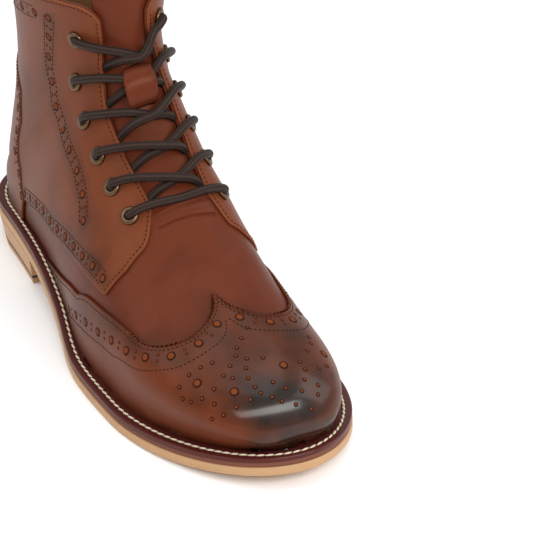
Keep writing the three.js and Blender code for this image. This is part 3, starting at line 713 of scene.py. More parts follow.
@dataclass(frozen=True)
class Finish:
    """A finish that a material is made from. Sizes are in millimetres."""

    name: str
    colour: str
    dark: str
    pattern: Pattern
    roughness: float
    size: float
    relief: float
    mottle: float = 0.25
    coat: float = 0.0
    metallic: float = 0.0

    def grain(self, tree: NodeTree, place: NodeSocket, level: NodeSocket) -> tuple:
        """Leather grain, darker and glossier where it is burnished and where shade is painted along the
        punched strips.
        """
        burnish_and_shade = add_node(tree, "ShaderNodeAttribute", {}, attribute_name="burnish_and_hole_shade").outputs["Fac"]
        polish = calculate(tree, "MULTIPLY_ADD", calculate(tree, "POWER", burnish_and_shade, 2.0), self.coat, LEAST_COAT)
        tree.links.new(polish, tree.nodes["Principled BSDF"].inputs["Coat Weight"])
        cells = add_node(tree, "ShaderNodeTexVoronoi", {"Vector": place, "Scale": 1 / (self.size * MM)})
        height = calculate(tree, "ADD", cells.outputs["Distance"], noise(tree, place, 3 * self.size, 5.0))
        return height, calculate(tree, "ADD", level, burnish_and_shade, clamp=True)

    def braid(self, tree: NodeTree) -> tuple:
        """Diamonds of a braided cord, from its UV map, with painted shade between the strands."""
        run = add_node(tree, "ShaderNodeUVMap", {}, uv_map="along").outputs["UV"]
        split = add_node(tree, "ShaderNodeSeparateXYZ", {"Vector": run})
        turns = calculate(tree, "MULTIPLY", split.outputs["X"], 2 * math.pi / (self.size * MM))
        twist = calculate(tree, "MULTIPLY", split.outputs["Y"], 6 * math.pi)
        waves = [calculate(tree, "SINE", calculate(tree, way, turns, twist)) for way in ("ADD", "SUBTRACT")]
        height = calculate(tree, "MULTIPLY", *waves)
        # Painted shade: darker where the braid dips between its strands
        return height, calculate(tree, "MULTIPLY_ADD", height, -0.6, 0.42)

    def layers(self, tree: NodeTree, place: NodeSocket, level: NodeSocket) -> tuple:
        """Level lines between stacked layers."""
        links = {"Vector": place, "Scale": 1 / (self.size * MM) / BANDS, "Distortion": 0.6}
        height = add_node(tree, "ShaderNodeTexWave", links, bands_direction="Z").outputs["Fac"]
        return height, calculate(tree, "MULTIPLY_ADD", height, 0.25, level)

    def material(self) -> Material:
        """Builds the material."""
        made = bpy.data.materials.new(self.name)
        made.use_nodes = True
        tree = made.node_tree
        shader = tree.nodes["Principled BSDF"]
        settings = {
            "Roughness": self.roughness,
            "Metallic": self.metallic,
            "Coat Weight": self.coat,
            "Coat Roughness": COAT_ROUGHNESS,
        }
        if not self.metallic:
            settings |= {"Specular IOR Level": SPECULAR, "Specular Tint": linear("#f0c4a4")}
        for name, value in settings.items():
            shader.inputs[name].default_value = value
        place = add_node(tree, "ShaderNodeTexCoord", {}).outputs["Object"]
        cloud = noise(tree, place, CLOUD_SIZE, 5.0)
        level = calculate(tree, "MULTIPLY_ADD", cloud, self.mottle, -self.mottle / 2)
        if self.pattern is Pattern.GRAIN:
            height, level = self.grain(tree, place, level)
        elif self.pattern is Pattern.BRAID:
            height, level = self.braid(tree)
        elif self.pattern is Pattern.LAYERS:
            height, level = self.layers(tree, place, level)
        else:
            height = noise(tree, place, self.size, 3.0)
        tones = {"Factor": level, 6: linear(self.colour), 7: linear(self.dark)}
        colour = add_node(tree, "ShaderNodeMix", tones, data_type="RGBA")
        tree.links.new(colour.outputs[2], shader.inputs["Base Color"])
        links = {"Height": height, "Strength": 0.5, "Distance": self.relief * MM}
        bump = add_node(tree, "ShaderNodeBump", links)
        tree.links.new(bump.outputs["Normal"], shader.inputs["Normal"])
        return made


def dress(obj: Object, *finishes: Material) -> None:
    """Gives an object its materials."""
    obj.data.materials.clear()
    for finish in finishes:
        obj.data.materials.append(finish)


def fit(obj: Object, slot: str, nodes: Sequence[str], *finishes: Material) -> None:
    """Dresses a piece, and hides the solids that it replaces."""
    dress(obj, *finishes)
    if nodes:
        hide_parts(*nodes)


Finishes = dict[str, Material]
FINISHES = {
    # Waxed calf, burnished by hand: a soft gloss over chestnut that darkens where it was rubbed, and where
    # shade is painted along the punched strips
    "calf": Finish("waxed_calf", "#68341e", "#241009", Pattern.GRAIN, 0.44, 0.8, 0.1, 1.0, 0.15),
    # The vamp's calf takes more red
    "vamp": Finish("vamp_calf", "#5a2818", "#1a0b08", Pattern.GRAIN, 0.42, 0.7, 0.09, 1.1, 0.15),
    # The toe's calf is polished hardest, to a wet shine
    "toe": Finish("spit_shined_calf", "#602c17", "#0e0706", Pattern.GRAIN, 0.4, 0.7, 0.07, 1.3, 0.8),
    # Glossy calf of tongue and keeper
    "gloss": Finish("glazed_calf", "#5a2818", "#1a0b08", Pattern.GRAIN, 0.32, 0.8, 0.07, 1.1, 0.4),
    # Natural pigskin lining: matt and pale tan
    "lining": Finish("pigskin_lining", "#8f6848", "#5f432d", Pattern.WEAVE, 0.8, 0.9, 0.06),
    # Raw cut edge of the leather, seen in the punched holes
    "raw": Finish("raw_calf", "#6a3319", "#3a1b0d", Pattern.WEAVE, 0.75, 0.4, 0.04),
    # Cut edge of the panels, inked and rubbed
    "edge": Finish("inked_edge", "#7d4529", "#4a2616", Pattern.WEAVE, 0.6, 0.4, 0.04),
    # Painted shadow inside a punched hole: a dark disc laid on the leather
    "hollow": Finish("painted_hole_shadow", "#26120a", "#120805", Pattern.WEAVE, 0.8, 0.4, 0.03),
    # Bonded polyester thread, dark brown
    "thread": Finish("brown_thread", "#2a140b", "#150a06", Pattern.WEAVE, 0.55, 0.3, 0.05),
    # Waxed linen thread of the welt, cream and chunky
    "linen": Finish("linen_thread", "#d2c4ab", "#9a876c", Pattern.WEAVE, 0.7, 0.4, 0.08),
    # Waxed round cotton lace: braid that shows as fine diamonds
    "cotton": Finish("waxed_cotton", "#382d29", "#131010", Pattern.BRAID, 0.5, 1.6, 0.25),
    # Antique brass: warm metal with dull brown in its hollows
    "brass": Finish("antique_brass", "#66503a", "#2c2018", Pattern.METAL, 0.34, 2.0, 0.03, 0.8, 0, 1.0),
    # Veg-tanned welt, inked and waxed
    "welt": Finish("inked_welt", "#481a17", "#220c0b", Pattern.WEAVE, 0.42, 0.8, 0.05, 0.5, 0.2),
    # Leather board of the midsole
    "board": Finish("leather_board", "#6f4639", "#4a2c22", Pattern.WEAVE, 0.6, 0.8, 0.05),
    # Veg-tanned sole leather, edge sanded and sealed
    "sole": Finish("sole_leather", "#b38d68", "#8a6340", Pattern.WEAVE, 0.5, 0.8, 0.05, 0.35, 0.15),
    # Stacked leather lifts whose joints show as thin lines
    "stack": Finish("stacked_lifts", "#bd9169", "#7a5236", Pattern.LAYERS, 0.5, 3.2, 0.08, 0.3, 0.15),
    # Vulcanised rubber line above the lift
    "rubber": Finish("heel_rubber", "#4a423e", "#2c2725", Pattern.WEAVE, 0.7, 0.8, 0.05),
    # Woven zip tape and nylon coil
    "tape": Finish("nylon_tape", "#2b1c16", "#140d0a", Pattern.WEAVE, 0.65, 0.5, 0.12),
}


# Lines on the boot: section and share across, the outer side negative

WING_EDGE = (
    (0, 10.8), (0.08, 10.5), (0.25, 9.92), (0.42, 9.32), (0.52, 8.76), (0.6, 7.7), (0.66, 6.86),
    (0.7, 6.3), (0.78, 5.88), (0.86, 5.76), (0.93, 5.9), (0.975, 6.16), (1, 6.53),
)
WING_SECOND = (
    (9.65, 1), (8.56, 0.708), (7.72, 0.592), (6.81, 0.48), (5.89, 0.388), (5.61, 0.336), (5.28, 0.248),
    (5.25, 0.12), (5.5, 0.03), (5.91, 0),
)
QUARTER_FRONT = ((0.63, 7.99), (0.75, 7.92), (0.84, 8.03), (0.905, 8.3), (1, 8.3))
QUARTER_LOW = (
    (7.9, 0.636), (8.6, 0.596), (9.6, 0.54), (10.1, 0.512), (11, 0.432), (11.65, 0.344), (12.2, 0.25),
    (12.45, 0.27), (13, 0.4), (13.7, 0.475), (14.5, 0.5), (15.6, 0.44), (16.4, 0.33), (17, 0.2),
    (17.25, 0.09), (17.3, 0), (19, 0),
)
FACING_HOLES = (
    (17.61, 0.388), (16.75, 0.396), (15.85, 0.388), (14.77, 0.352), (13.56, 0.332), (12.49, 0.328),
    (11.54, 0.324), (10.79, 0.324), (10.22, 0.332), (9.78, 0.356),
)
LOW_HOLES = (
    (12.35, 0.7), (12.0, 0.635), (11.65, 0.585), (11.3, 0.545), (10.95, 0.513), (10.55, 0.486),
    (10.15, 0.46), (9.68, 0.432), (9.16, 0.4), (8.7, 0.368), (8.28, 0.345),
)
WING_HOLES = (
    (10.06, 1.0), (9.62, 0.924), (8.89, 0.708), (8.27, 0.556), (7.73, 0.492), (7.05, 0.436), (6.56, 0.396),
    (6.13, 0.344), (5.77, 0.28), (5.53, 0.196), (5.56, 0.104), (5.82, 0.032),
)
COLLAR_HOLES = ((18.2, 0.98), (18.18, 0.85), (18.16, 0.72), (18.11, 0.608), (17.99, 0.536), (17.84, 0.46))
TOE_ROSETTES = ((4.6, -0.244), (3.8, -0.156), (4.1, 0.064), (4.42, 0.308))
TOE_HOLES = (
    (5.5, 0.032), (5.01, 0.26), (5.26, 0.0), (4.77, 0.248), (5.04, -0.028), (4.48, 0.204), (4.83, -0.048),
    (4.64, -0.024), (4.52, 0.016), (4.1, 0.136), (3.79, 0.224), (3.9, 0.288), (4.9, -0.132),
    (4.61, -0.088), (4.37, -0.048), (4.94, -0.18), (4.93, -0.24), (4.41, -0.136), (4.23, -0.116),
    (4.04, -0.068), (3.8, 0.144), (3.44, 0.116), (3.64, -0.004), (3.14, 0.18), (4.83, -0.32),
    (4.18, -0.212), (3.68, -0.072), (3.3, 0.02), (3.03, 0.08), (2.74, 0.164), (4.53, -0.368),
    (4.29, -0.356), (4.14, -0.296), (3.42, -0.072), (3.14, -0.044), (2.85, -0.02), (2.55, 0.024),
    (2.16, 0.1), (3.77, -0.28), (3.33, -0.132), (3.31, -0.216), (3.31, -0.312), (3.47, -0.392),
)

# Folds of the vamp: section, share across, depth, and width, bend and reach of each
FOLDS = (
    (7.55, -0.12, 0.55, 0.13, 0.9, 0.22), (7.15, -0.1, 0.4, 0.12, 0.9, 0.22),
    (7.9, -0.2, 0.35, 0.1, 0.9, 0.22), (6.95, 0.12, 0.35, 0.12, 0.9, 0.22),
    (12.2, -0.42, 0.5, 0.5, 0, 0.2), (13.4, 0.45, 0.6, 0.5, 0, 0.2), (11.2, -0.55, 0.35, 0.4, 0, 0.2),
)


def on_side(points: Sequence[tuple[float, float]], side: float) -> Line:
    """Line on one side of the boot through sections and shares away from the ridge."""
    return Line([(section, side * across) for section, across in points])


def at_heights(points: Sequence[tuple[float, float]], side: float) -> Line:
    """Line on one side of the boot through sections and heights, which are 1 on the ridge."""
    return Line([(section, side * (1 - height)) for section, height in points])


def wing_line(side: float) -> Line:
    """Edge of the wing cap on one side, from the feather line to the ridge."""
    return at_heights([(section, height) for height, section in WING_EDGE], side)


@dataclass
class Punches:
    """Punched holes as flat discs: a dark disc of painted shadow for each, with the raw leather showing in
    it.

    Radii and distances are in millimetres, the floors' sizes in shares of a hole's radius.
    """

    large: float = 2.4
    small: float = 0.85
    toe: float = 1.2
    rosette: float = 2.3
    aside: float = 1.5
    lift: float = 0.06
    seam: float = 0.985
    # The floor sits off the hole's middle, leaving the painted shadow as a crescent on one side; small holes
    # get a smaller floor and more painted shadow
    floor_shift: float = 0.08
    floor_lift: float = 0.05
    wide_floor: float = 0.66
    narrow_floor: float = 0.5
    corners: int = 14

    def __post_init__(self) -> None:
        """Starts the two meshes."""
        self.hole_shadows = bmesh.new()
        self.floors = bmesh.new()

    def hole(self, section: float, across: float, radius: float, skin: Skin) -> None:
        """One hole on the last, with its raw floor."""
        height = skin(np.array([section]), np.array([across]))[0]
        turn = standing(section, across, height + self.lift)
        inner = turn @ Matrix.Translation((self.floor_shift * radius * MM, 0, self.floor_lift * MM))
        share = self.wide_floor if radius > self.toe else self.narrow_floor
        # A dark disc of painted shadow, and the raw floor just above it
        for bm, disc, size in ((self.hole_shadows, turn, radius), (self.floors, inner, share * radius)):
            bmesh.ops.create_circle(bm, cap_ends=True, segments=self.corners, radius=size * MM, matrix=disc)

    def beside(self, line: Line, far: float, aside: float, radius: float, skin: Skin) -> None:
        """One hole beside a line, unless it would lie on the seam."""
        section, across = line.at(np.array([far]), aside)
        if abs(across[0]) < self.seam:
            self.hole(section[0], across[0], radius, skin)

    def row(self, line: Line, count: int, skin: Skin) -> None:
        """Large holes along a line with two small ones between each pair.

        Args:
            line: the line that the large holes lie on.
            count: how many large holes it has.
            skin: height of the leather above the last by section and across.
        """
        step = line.length / (count - 1)
        for i in range(count):
            self.beside(line, i * step, 0.0, self.large, skin)
            if i < count - 1:
                for way in (-self.aside, self.aside):
                    self.beside(line, (i + 0.5) * step, way, self.small, skin)

    def build(self, finishes: Finishes) -> None:
        """Makes the two pieces."""
        # The holes' painted shadows, and their raw floors
        dress(finish_mesh("punched_hole_shadows", self.hole_shadows, False), finishes["hollow"])
        dress(finish_mesh("punched_floors", self.floors, False), finishes["raw"])


@dataclass
class WingSide:
    """One side of the wing cap, laid from the toe's tip to its pinked edge. Sizes are in millimetres."""

    side: float
    tooth_depth: float = 0.95
    band: float = 2.0
    band_peak: float = 6.1
    held_for: float = 3.5
    plain_for: float = 3.0

    def __post_init__(self) -> None:
        """Measures the edge, counts its teeth and finds where the line inside it meets the ridge."""
        self.line = wing_line(self.side)
        self.teeth = int(self.line.length / TOOTH)
        trial = np.linspace(0, self.line.length, 600)
        crossed = self.side * self.line.at(trial, self.side * self.band)[1] <= 0
        self.reach = float(trial[np.argmax(crossed)])

    def inside(self, v: Array) -> tuple[Array, Array]:
        """The line just inside the edge, from the feather line to where it meets the ridge."""
        far = v * self.reach
        section, across = self.line.at(far, self.side * self.band)
        low = smooth(1 - far / self.held_for)
        high = smooth(1 - (self.reach - far) / self.held_for)
        across = mix(self.side * across, 1.0, low) * (v < 1)
        return mix(section, self.band_peak, high), self.side * np.clip(across, 0, 1)

    def cap(self, u: Array, v: Array) -> tuple[Array, Array]:
        """From the toe's tip to just inside the edge."""
        section, across = self.inside(v)
        return section * u**1.25, across

    def rim(self, u: Array, v: Array) -> tuple[Array, Array]:
        """The narrow band whose outer edge is pinked."""
        length = self.line.length
        far = v * length
        fade = np.clip((length - far) / self.plain_for, 0, 1) * np.clip(far / self.plain_for, 0, 1)
        wave = self.tooth_depth * zigzag(far, length / self.teeth) * fade
        section, across = self.line.at(far, -self.side * wave)
        inner = self.inside(v)
        return mix(inner[0], section, u), mix(inner[1], self.side * np.clip(self.side * across, 0, 1), u)


@dataclass
class Upper:
    """Vamp and lining in one sheet, with the panels that lie over it.

    Sizes are in millimetres, the counter's ends in sections, and darknesses go from 0 to 1.
    """

    finishes: Finishes
    punches: Punches
    panel: float = 1.2
    wall: float = 1.6
    gap: float = 0.3
    corner_round: float = 0.42
    strip_half: float = 3.4
    edge_seam: float = 2.2
    facing_seam: float = 1.6
    counter_holes: float = 9.0
    counter_front: float = 12.15
    counter_back: float = 17.29
    low_dark: float = 0.34
    quarter_dark: float = 0.24
    wing_dark: float = 0.34
    # Painted shade along the punched strips, for the shadows in their holes
    strip_painted_shade: float = 0.3
    heel_dark: float = 0.25
    counter_skin: Skin = even(0.5)

    def crease(self, section: Array, across: Array) -> Array:
        """Soft folds of the vamp below the laces and round the ankle, in millimetres."""
        fold = np.zeros_like(section)
        for start, middle, depth, width, bend, reach in FOLDS:
            aside = across - middle
            ahead = section - start - bend * aside**2
            fold -= depth * bell(ahead, width) * bell(aside, reach)
        return fold + 0.18 * np.sin(section * 1.9 + 3 * across) * np.sin(across * 5.2)

    def quarter_skin(self, section: Array, across: Array) -> Array:
        """Height of the quarters above the last, in millimetres."""
        return 0.6 * self.crease(section, across)

    def wing_skin(self, section: Array, across: Array) -> Array:
        """Height of the wing cap above the last, in millimetres."""
        return 0.3 * self.crease(section, across)

    def burnish_and_shade(self, section: Array, across: Array) -> Array:
        """Darkness of the leather: burnish, nearly black at the toe, darker low down, along seams and at the
        heel, and painted shade along the punched strips.
        """
        aside = np.abs(across)
        patch = np.exp(-((((section - 2.6) / 2.4) ** 2 + ((across - 0.02) / 0.38) ** 2) ** 1.3))
        tip = 0.9 * (1 - smooth((section - 1.0) / 1.9))
        edge = self.low_dark * smooth((aside - 0.74) / 0.26) * (section < 13)
        above = 1 - aside - along(QUARTER_LOW, section)
        edge += self.quarter_dark * bell(above - 0.05, 0.1) * (section > 8.5)
        edge += self.wing_dark * bell(section - along(WING_EDGE, 1 - aside) + 0.4, 0.6)
        # Painted shade: the punched strips are darkened for the shadows in their holes
        for row in (FACING_HOLES, LOW_HOLES):
            line = row[::-1]
            inside = (section > line[0][0] - 0.2) & (section < line[-1][0] + 0.2)
            edge += self.strip_painted_shade * bell(aside - along(line, section), 0.034, 4) * inside
        heel = self.heel_dark * smooth((section - 12) / 1.5) * smooth((aside - 0.6) / 0.3)
        return np.clip(np.maximum(patch, tip) + edge + heel, 0, 1)

    def build(self) -> None:
        """Builds the sheet and its panels."""
        self.vamp()
        self.wing()
        for name in SIDES:
            self.quarter(name)
        self.counter()
        self.seams()

    def toe_part(self, side: float, u: Array, v: Array) -> tuple[Array, Array]:
        """Toe and vamp up to the throat's foot."""
        edge = float(LAST.throat(np.array(THROAT_FOOT), side))
        height = np.where(v < 0.8, v / 0.8 * edge, mix(edge, 1, (v - 0.8) / 0.2))
        return THROAT_FOOT * u**1.2, side * (1 - height)

    def shaft_part(self, side: float, u: Array, v: Array) -> tuple[Array, Array]:
        """Shaft from the throat's foot to the collar."""
        section = mix(THROAT_FOOT, through(LAST.collar, v), u)
        return section, side * (1 - v * LAST.throat(section, side))

    def quarter_part(self, side: float, u: Array, v: Array) -> tuple[Array, Array]:
        """From the front edge to the collar, and from the lower edge to the throat."""
        section = mix(self.front(v, side), through(LAST.collar, v), u)
        height = mix(along(QUARTER_LOW, section), LAST.throat(section, side), v)
        return section, side * (1 - height)

    def counter_part(self, side: float, u: Array, v: Array) -> tuple[Array, Array]:
        """From the counter's front edge round to the back seam, with its top pinked."""
        section = mix(self.counter_front + 0.2 * v, self.counter_back, u)
        tooth = 0.012 * zigzag(u * 110, TOOTH) * (v > 0.97)
        return section, side * (1 - np.clip(v * along(QUARTER_LOW, section) + tooth, 0, 1))

    def vamp(self) -> None:
        """One sheet from toe to collar, open at throat, collar and bottom."""
        patches = []
        for side in SIDES.values():
            patches += [(70, 60, partial(self.toe_part, side)), (110, 48, partial(self.shaft_part, side))]
        outer = -(self.panel + self.gap)
        obj = sheet_on_last("vamp", patches, lambda s, a: outer + self.crease(s, a), self.wall, self.burnish_and_shade)
        obj.modifiers["wall"].material_offset = 1
        fit(obj, "leather", ["upper"], self.finishes["vamp"], self.finishes["lining"])

    def wing(self) -> None:
        """Winged toe cap with its pinked edge."""
        patches = []
        for half in (WingSide(side) for side in SIDES.values()):
            patches += [(48, 4 * half.teeth, half.cap), (3, 4 * half.teeth, half.rim)]
        obj = sheet_on_last("wing", patches, self.wing_skin, self.panel, self.burnish_and_shade)
        fit(obj, "toe_leather", ["wing_cap"], self.finishes["toe"])

    def front(self, v: Array, side: float) -> Array:
        """Section of the quarter's front edge, which rounds into the throat at its top."""
        corner = float(LAST.throat(np.array(THROAT_FOOT), side))
        rounded = self.corner_round * np.clip((v - 0.8) / 0.2, 0, 1) ** 2
        return along(QUARTER_FRONT, mix(QUARTER_LOW[0][1], corner, v)) + rounded

    def facing(self, side: float) -> Line:
        """Edge of the quarter from its lowest point up the front and along the throat."""
        shares = np.linspace(0.03, 1, 14)
        sections = self.front(shares, side)
        heights = mix(along(QUARTER_LOW, sections), LAST.throat(sections, side), shares)
        upper = np.linspace(sections[-1] + 0.4, 16.8, 14)
        return at_heights([*zip(sections, heights), *zip(upper, LAST.throat(upper, side))], side)

    def collar_line(self, side: float) -> Line:
        """Line just below the collar."""
        top = float(LAST.throat(np.array(17.2), side))
        shares = np.linspace(0.02, 0.97, 14)
        return at_heights([(float(through(LAST.collar, v)) - 0.1, v * top) for v in shares], side)

    def counter_line(self, side: float, inset: float, last: int) -> Line:
        """Line inside the counter's top edge, by an inset in shares across."""
        places = [(section, max(height - inset, 0.0)) for section, height in QUARTER_LOW[7:last]]
        return at_heights(places, side)

    def quarter(self, name: str) -> None:
        """Quarter with its facing, from the diagonal front edge to the back seam."""
        side = SIDES[name]
        patches = [(170, 46, partial(self.quarter_part, side))]
        obj = sheet_on_last(f"quarter_{name}_leather", patches, self.quarter_skin, self.panel, self.burnish_and_shade)
        obj.modifiers["wall"].material_offset_rim = 1
        fit(obj, "leather", [f"quarter_{name}"], self.finishes["calf"], self.finishes["edge"])
        for row, count in ((FACING_HOLES, 10), (LOW_HOLES, 11), (COLLAR_HOLES, 6)):
            self.punches.row(on_side(row, side), count, self.quarter_skin)

    def counter(self) -> None:
        """Heel counter with its pinked top edge and its holes."""
        patches = [(220, 30, partial(self.counter_part, side)) for side in SIDES.values()]
        obj = sheet_on_last("heel_counter", patches, self.counter_skin, self.wall, self.burnish_and_shade)
        fit(obj, "leather", ["counter"], self.finishes["calf"])
        for side in SIDES.values():
            line = self.counter_line(side, 0.035, 13)
            self.punches.row(line, max(int(line.length / self.counter_holes), 2), self.counter_skin)

    def seams(self) -> None:
        """Rows of brown stitches, and the holes of wing and toe."""
        for places, radius in ((TOE_HOLES, self.punches.toe), (TOE_ROSETTES, self.punches.rosette)):
            for section, across in places:
                self.punches.hole(section, across, radius, self.wing_skin)
        bm = bmesh.new()
        for side in SIDES.values():
            self.punches.row(on_side(WING_HOLES, side), 12, self.wing_skin)
            stitched_line(bm, wing_line(side), self.edge_seam * side, self.wing_skin)
            stitched_line(bm, on_side(WING_SECOND, side), 0, self.wing_skin)
            for row in (FACING_HOLES, LOW_HOLES, COLLAR_HOLES):
                for aside in (-self.strip_half, self.strip_half):
                    stitched_line(bm, on_side(row, side), aside, self.quarter_skin)
            stitched_line(bm, self.facing(side), -self.facing_seam * side, self.quarter_skin)
            stitched_line(bm, self.collar_line(side), 0, self.quarter_skin)
            stitched_line(bm, self.counter_line(side, 0.014, 14), 0, self.counter_skin)
        dress(finish_mesh("upper_stitches", bm), self.finishes["thread"])


@dataclass
class Tongue:
    """Tongue with its pinked top, and the loop that keeps the lace. Heights are in millimetres."""

    finishes: Finishes
    outer: float = -3.7
    at_foot: float = -1.55
    thickness: float = 1.8
    start: float = 7.6
    hidden: float = 8.2
    end: float = 18.75
    half: float = 0.2
    keeper_low: float = 11.25
    keeper_high: float = 13.3
    keeper_rise: float = 7.6
    keeper_wall: float = 1.2
    keeper_sides: tuple = (-0.075, 0.02)
    teeth: int = 20
    tooth_depth: float = 0.05

    def blade(self, u: Array, v: Array) -> tuple[Array, Array]:
        """From under the vamp to the pinked top."""
        tooth = self.tooth_depth * zigzag(v * self.teeth, 1.0) * (u > 0.99)
        return mix(self.start, self.end, u) + tooth, mix(-self.half, self.half, v)

    def level(self, section: Array, across: Array) -> Array:
        """Height of the tongue, which comes up level with the vamp at its foot and is creased there."""
        level = mix(self.at_foot, self.outer, smooth((section - 8.5) / 0.9))
        ripple = 0.3 * np.sin((section - 0.6 * across - THROAT_FOOT) * 45)
        ripple *= bell(section - 8.6, 0.26) * bell(across + 0.01, 0.13)
        return np.where(section < self.hidden, self.outer, level + ripple)

    def arch(self, section: Array, across: Array) -> Array:
        """Height of the keeper's loop over the tongue."""
        share = np.clip((section - self.keeper_low) / (self.keeper_high - self.keeper_low), 0, 1)
        rise = self.keeper_rise * np.maximum(np.sin(np.pi * share), 0) ** 0.45
        return self.outer + 0.3 + self.keeper_wall + rise

    def strap(self, u: Array, v: Array) -> tuple[Array, Array]:
        """Along the keeper's loop and across it."""
        return mix(self.keeper_low, self.keeper_high, u), mix(*self.keeper_sides, v)

    def build(self) -> None:
        """Builds tongue and keeper."""
        blade = sheet_on_last("tongue_leather", [(260, 60, self.blade)], self.level, self.thickness)
        fit(blade, "leather", ["tongue"], self.finishes["gloss"])
        loop = sheet_on_last("keeper_loop", [(40, 14, self.strap)], self.arch, self.keeper_wall, even(0.1))
        fit(loop, "leather", ["lace_keeper"], self.finishes["gloss"])
        bm = bmesh.new()
        across = np.linspace(-0.07, 0.015, 12)
        for place in (self.keeper_low + 0.12, self.keeper_high - 0.12):
            section = np.full_like(across, place)
            path = LAST.point(section, across, self.arch(section, across) + 0.1)
            KEEPER_STITCH.sew(bm, path, LAST.directions(section, across)[2])
        dress(finish_mesh("keeper_stitches", bm), self.finishes["thread"])


@dataclass
class Lacing:
    """Eyelets and the lace that runs through them."""

    finishes: Finishes
    sections: tuple = (8.84, 9.73, 10.7, 12.13, 14.18, 16.4)
    crossings: tuple = (9.1, 9.93, 10.88, 12.2, 13.8)
    on_top: tuple = ("lateral", "lateral", "medial", "lateral", "medial")
    margins: dict = field(default_factory=lambda: {
        "lateral": (0.076, 0.084, 0.08, 0.08, 0.096, 0.104),
        "medial": (0.088, 0.095, 0.08, 0.098, 0.125, 0.09),
    })
    radius: float = 2.2
    rolled: Table = (
        (2.3, -2.6), (2.3, 1.2), (2.6, 1.65), (3.2, 1.75), (4.1, 1.5), (4.6, 1.0), (4.7, 0.0), (2.7, 0.0),
        (2.7, -2.6),
    )
    over: tuple = (2.1, 2.1, 2.1, 1.2, 2.1)
    under: float = -1.9

    def edge(self, section: float, name: str, margin: float = 0.0) -> float:
        """Share across of the facing's edge, or of a place inside it by a margin."""
        return SIDES[name] * (1 - float(LAST.throat(np.array(section), SIDES[name])) + margin)

    def hole(self, i: int, name: str) -> float:
        """Share across of an eyelet's middle."""
        return self.edge(self.sections[i], name, self.margins[name][i])

    def build(self) -> None:
        """Builds eyelets and laces."""
        for name in SIDES:
            self.eyelets(name)
        for i, top in enumerate(self.on_top):
            for to_name, from_name in (("lateral", "medial"), ("medial", "lateral")):
                nodes = [f"lace_cross_{i + 1}"] if to_name == top else []
                path = self.strand(i, from_name, to_name, self.over[i] if nodes else self.under)
                cord = tube(f"lace_{i + 1}_{to_name}", path, self.radius)
                fit(cord, "lace", nodes, self.finishes["cotton"])
        fit(tube("lace_foot_bar", self.bar(), self.radius), "lace", ["lace_bar"], self.finishes["cotton"])

    def eyelets(self, name: str) -> None:
        """Rolled brass eyelets of one side."""
        bm = bmesh.new()
        for i, section in enumerate(self.sections):
            turn = standing(section, self.hole(i, name), 0.0)
            before = set(bm.verts)
            corners = [bm.verts.new((x * MM, 0, z * MM)) for x, z in self.rolled]
            edges = [bm.edges.new((a, b)) for a, b in zip(corners, corners[1:] + corners[:1])]
            bmesh.ops.spin(
                bm, geom=corners + edges, cent=(0, 0, 0), axis=(0, 0, 1), dvec=(0, 0, 0),
                angle=2 * math.pi, steps=28, use_merge=True, use_duplicate=False,
            )
            bmesh.ops.transform(bm, matrix=turn, verts=[vert for vert in bm.verts if vert not in before])
        nodes = [f"eyelet_{name}_{i + 1}" for i in range(len(self.sections))]
        fit(closed_form(f"eyelets_{name}", bm, False), "brass", nodes, self.finishes["brass"])

    def strand(self, i: int, from_name: str, to_name: str, rise: float) -> Array:
        """Middle line of a strand from under one facing into the next eyelet of the other.

        Args:
            i: number of the crossing, from the lowest.
            from_name: the side it comes from.
            to_name: the side of its eyelet.
            rise: its height above the last where the strands cross.

        Returns:
            Points in millimetres.
        """
        start, middle, end = self.sections[i], self.crossings[i], self.sections[i + 1]
        out = self.edge(start, from_name)
        low = mix(start, middle, 0.25)
        edge = self.edge(end, to_name)
        hole = self.hole(i + 1, to_name)
        turn = mix(middle, end, 0.62)
        places = [
            (low, out * 1.25, -4.4),
            (mix(low, middle, 0.2), out * 0.98, -3.2),
            (mix(low, middle, 0.6), out * 0.5, mix(-1.2, rise, 0.45)),
            (middle, 0.0, rise),
            (mix(middle, turn, 0.45), edge * 0.5, mix(rise, 2.6, 0.5)),
            (turn, edge * 0.98, 2.9),
            (mix(turn, end, 0.6), mix(edge, hole, 0.5), 3.2),
            (end, mix(edge, hole, 0.9), 2.6),
            (end, hole, 0.4),
            (end, hole, -3.0),
        ]
        return LAST.point(*np.array(places).T)

    def bar(self) -> Array:
        """Middle line of the lowest bar, into both first eyelets."""
        section = self.sections[0]
        halves = []
        for name in SIDES:
            hole, edge = self.hole(0, name), self.edge(section, name)
            halves.append([
                (section, hole, -3.0), (section, hole, 0.4), (section - 0.03, mix(hole, edge, 0.15), 2.6),
                (section - 0.06, mix(hole, edge, 0.6), 3.1), (section - 0.1, edge * 0.9, 2.4),
            ])
        return LAST.point(*np.array(halves[0] + [(8.68, 0.0, -0.2)] + halves[1][::-1]).T)


def on_sole(x: Array, y: Array, height: Array) -> Array:
    """Points from distances along and across the sole and heights above its underside."""
    return np.stack([x - LAST.heel_centre, y, SOLE.underside(x) + height], axis=-1)


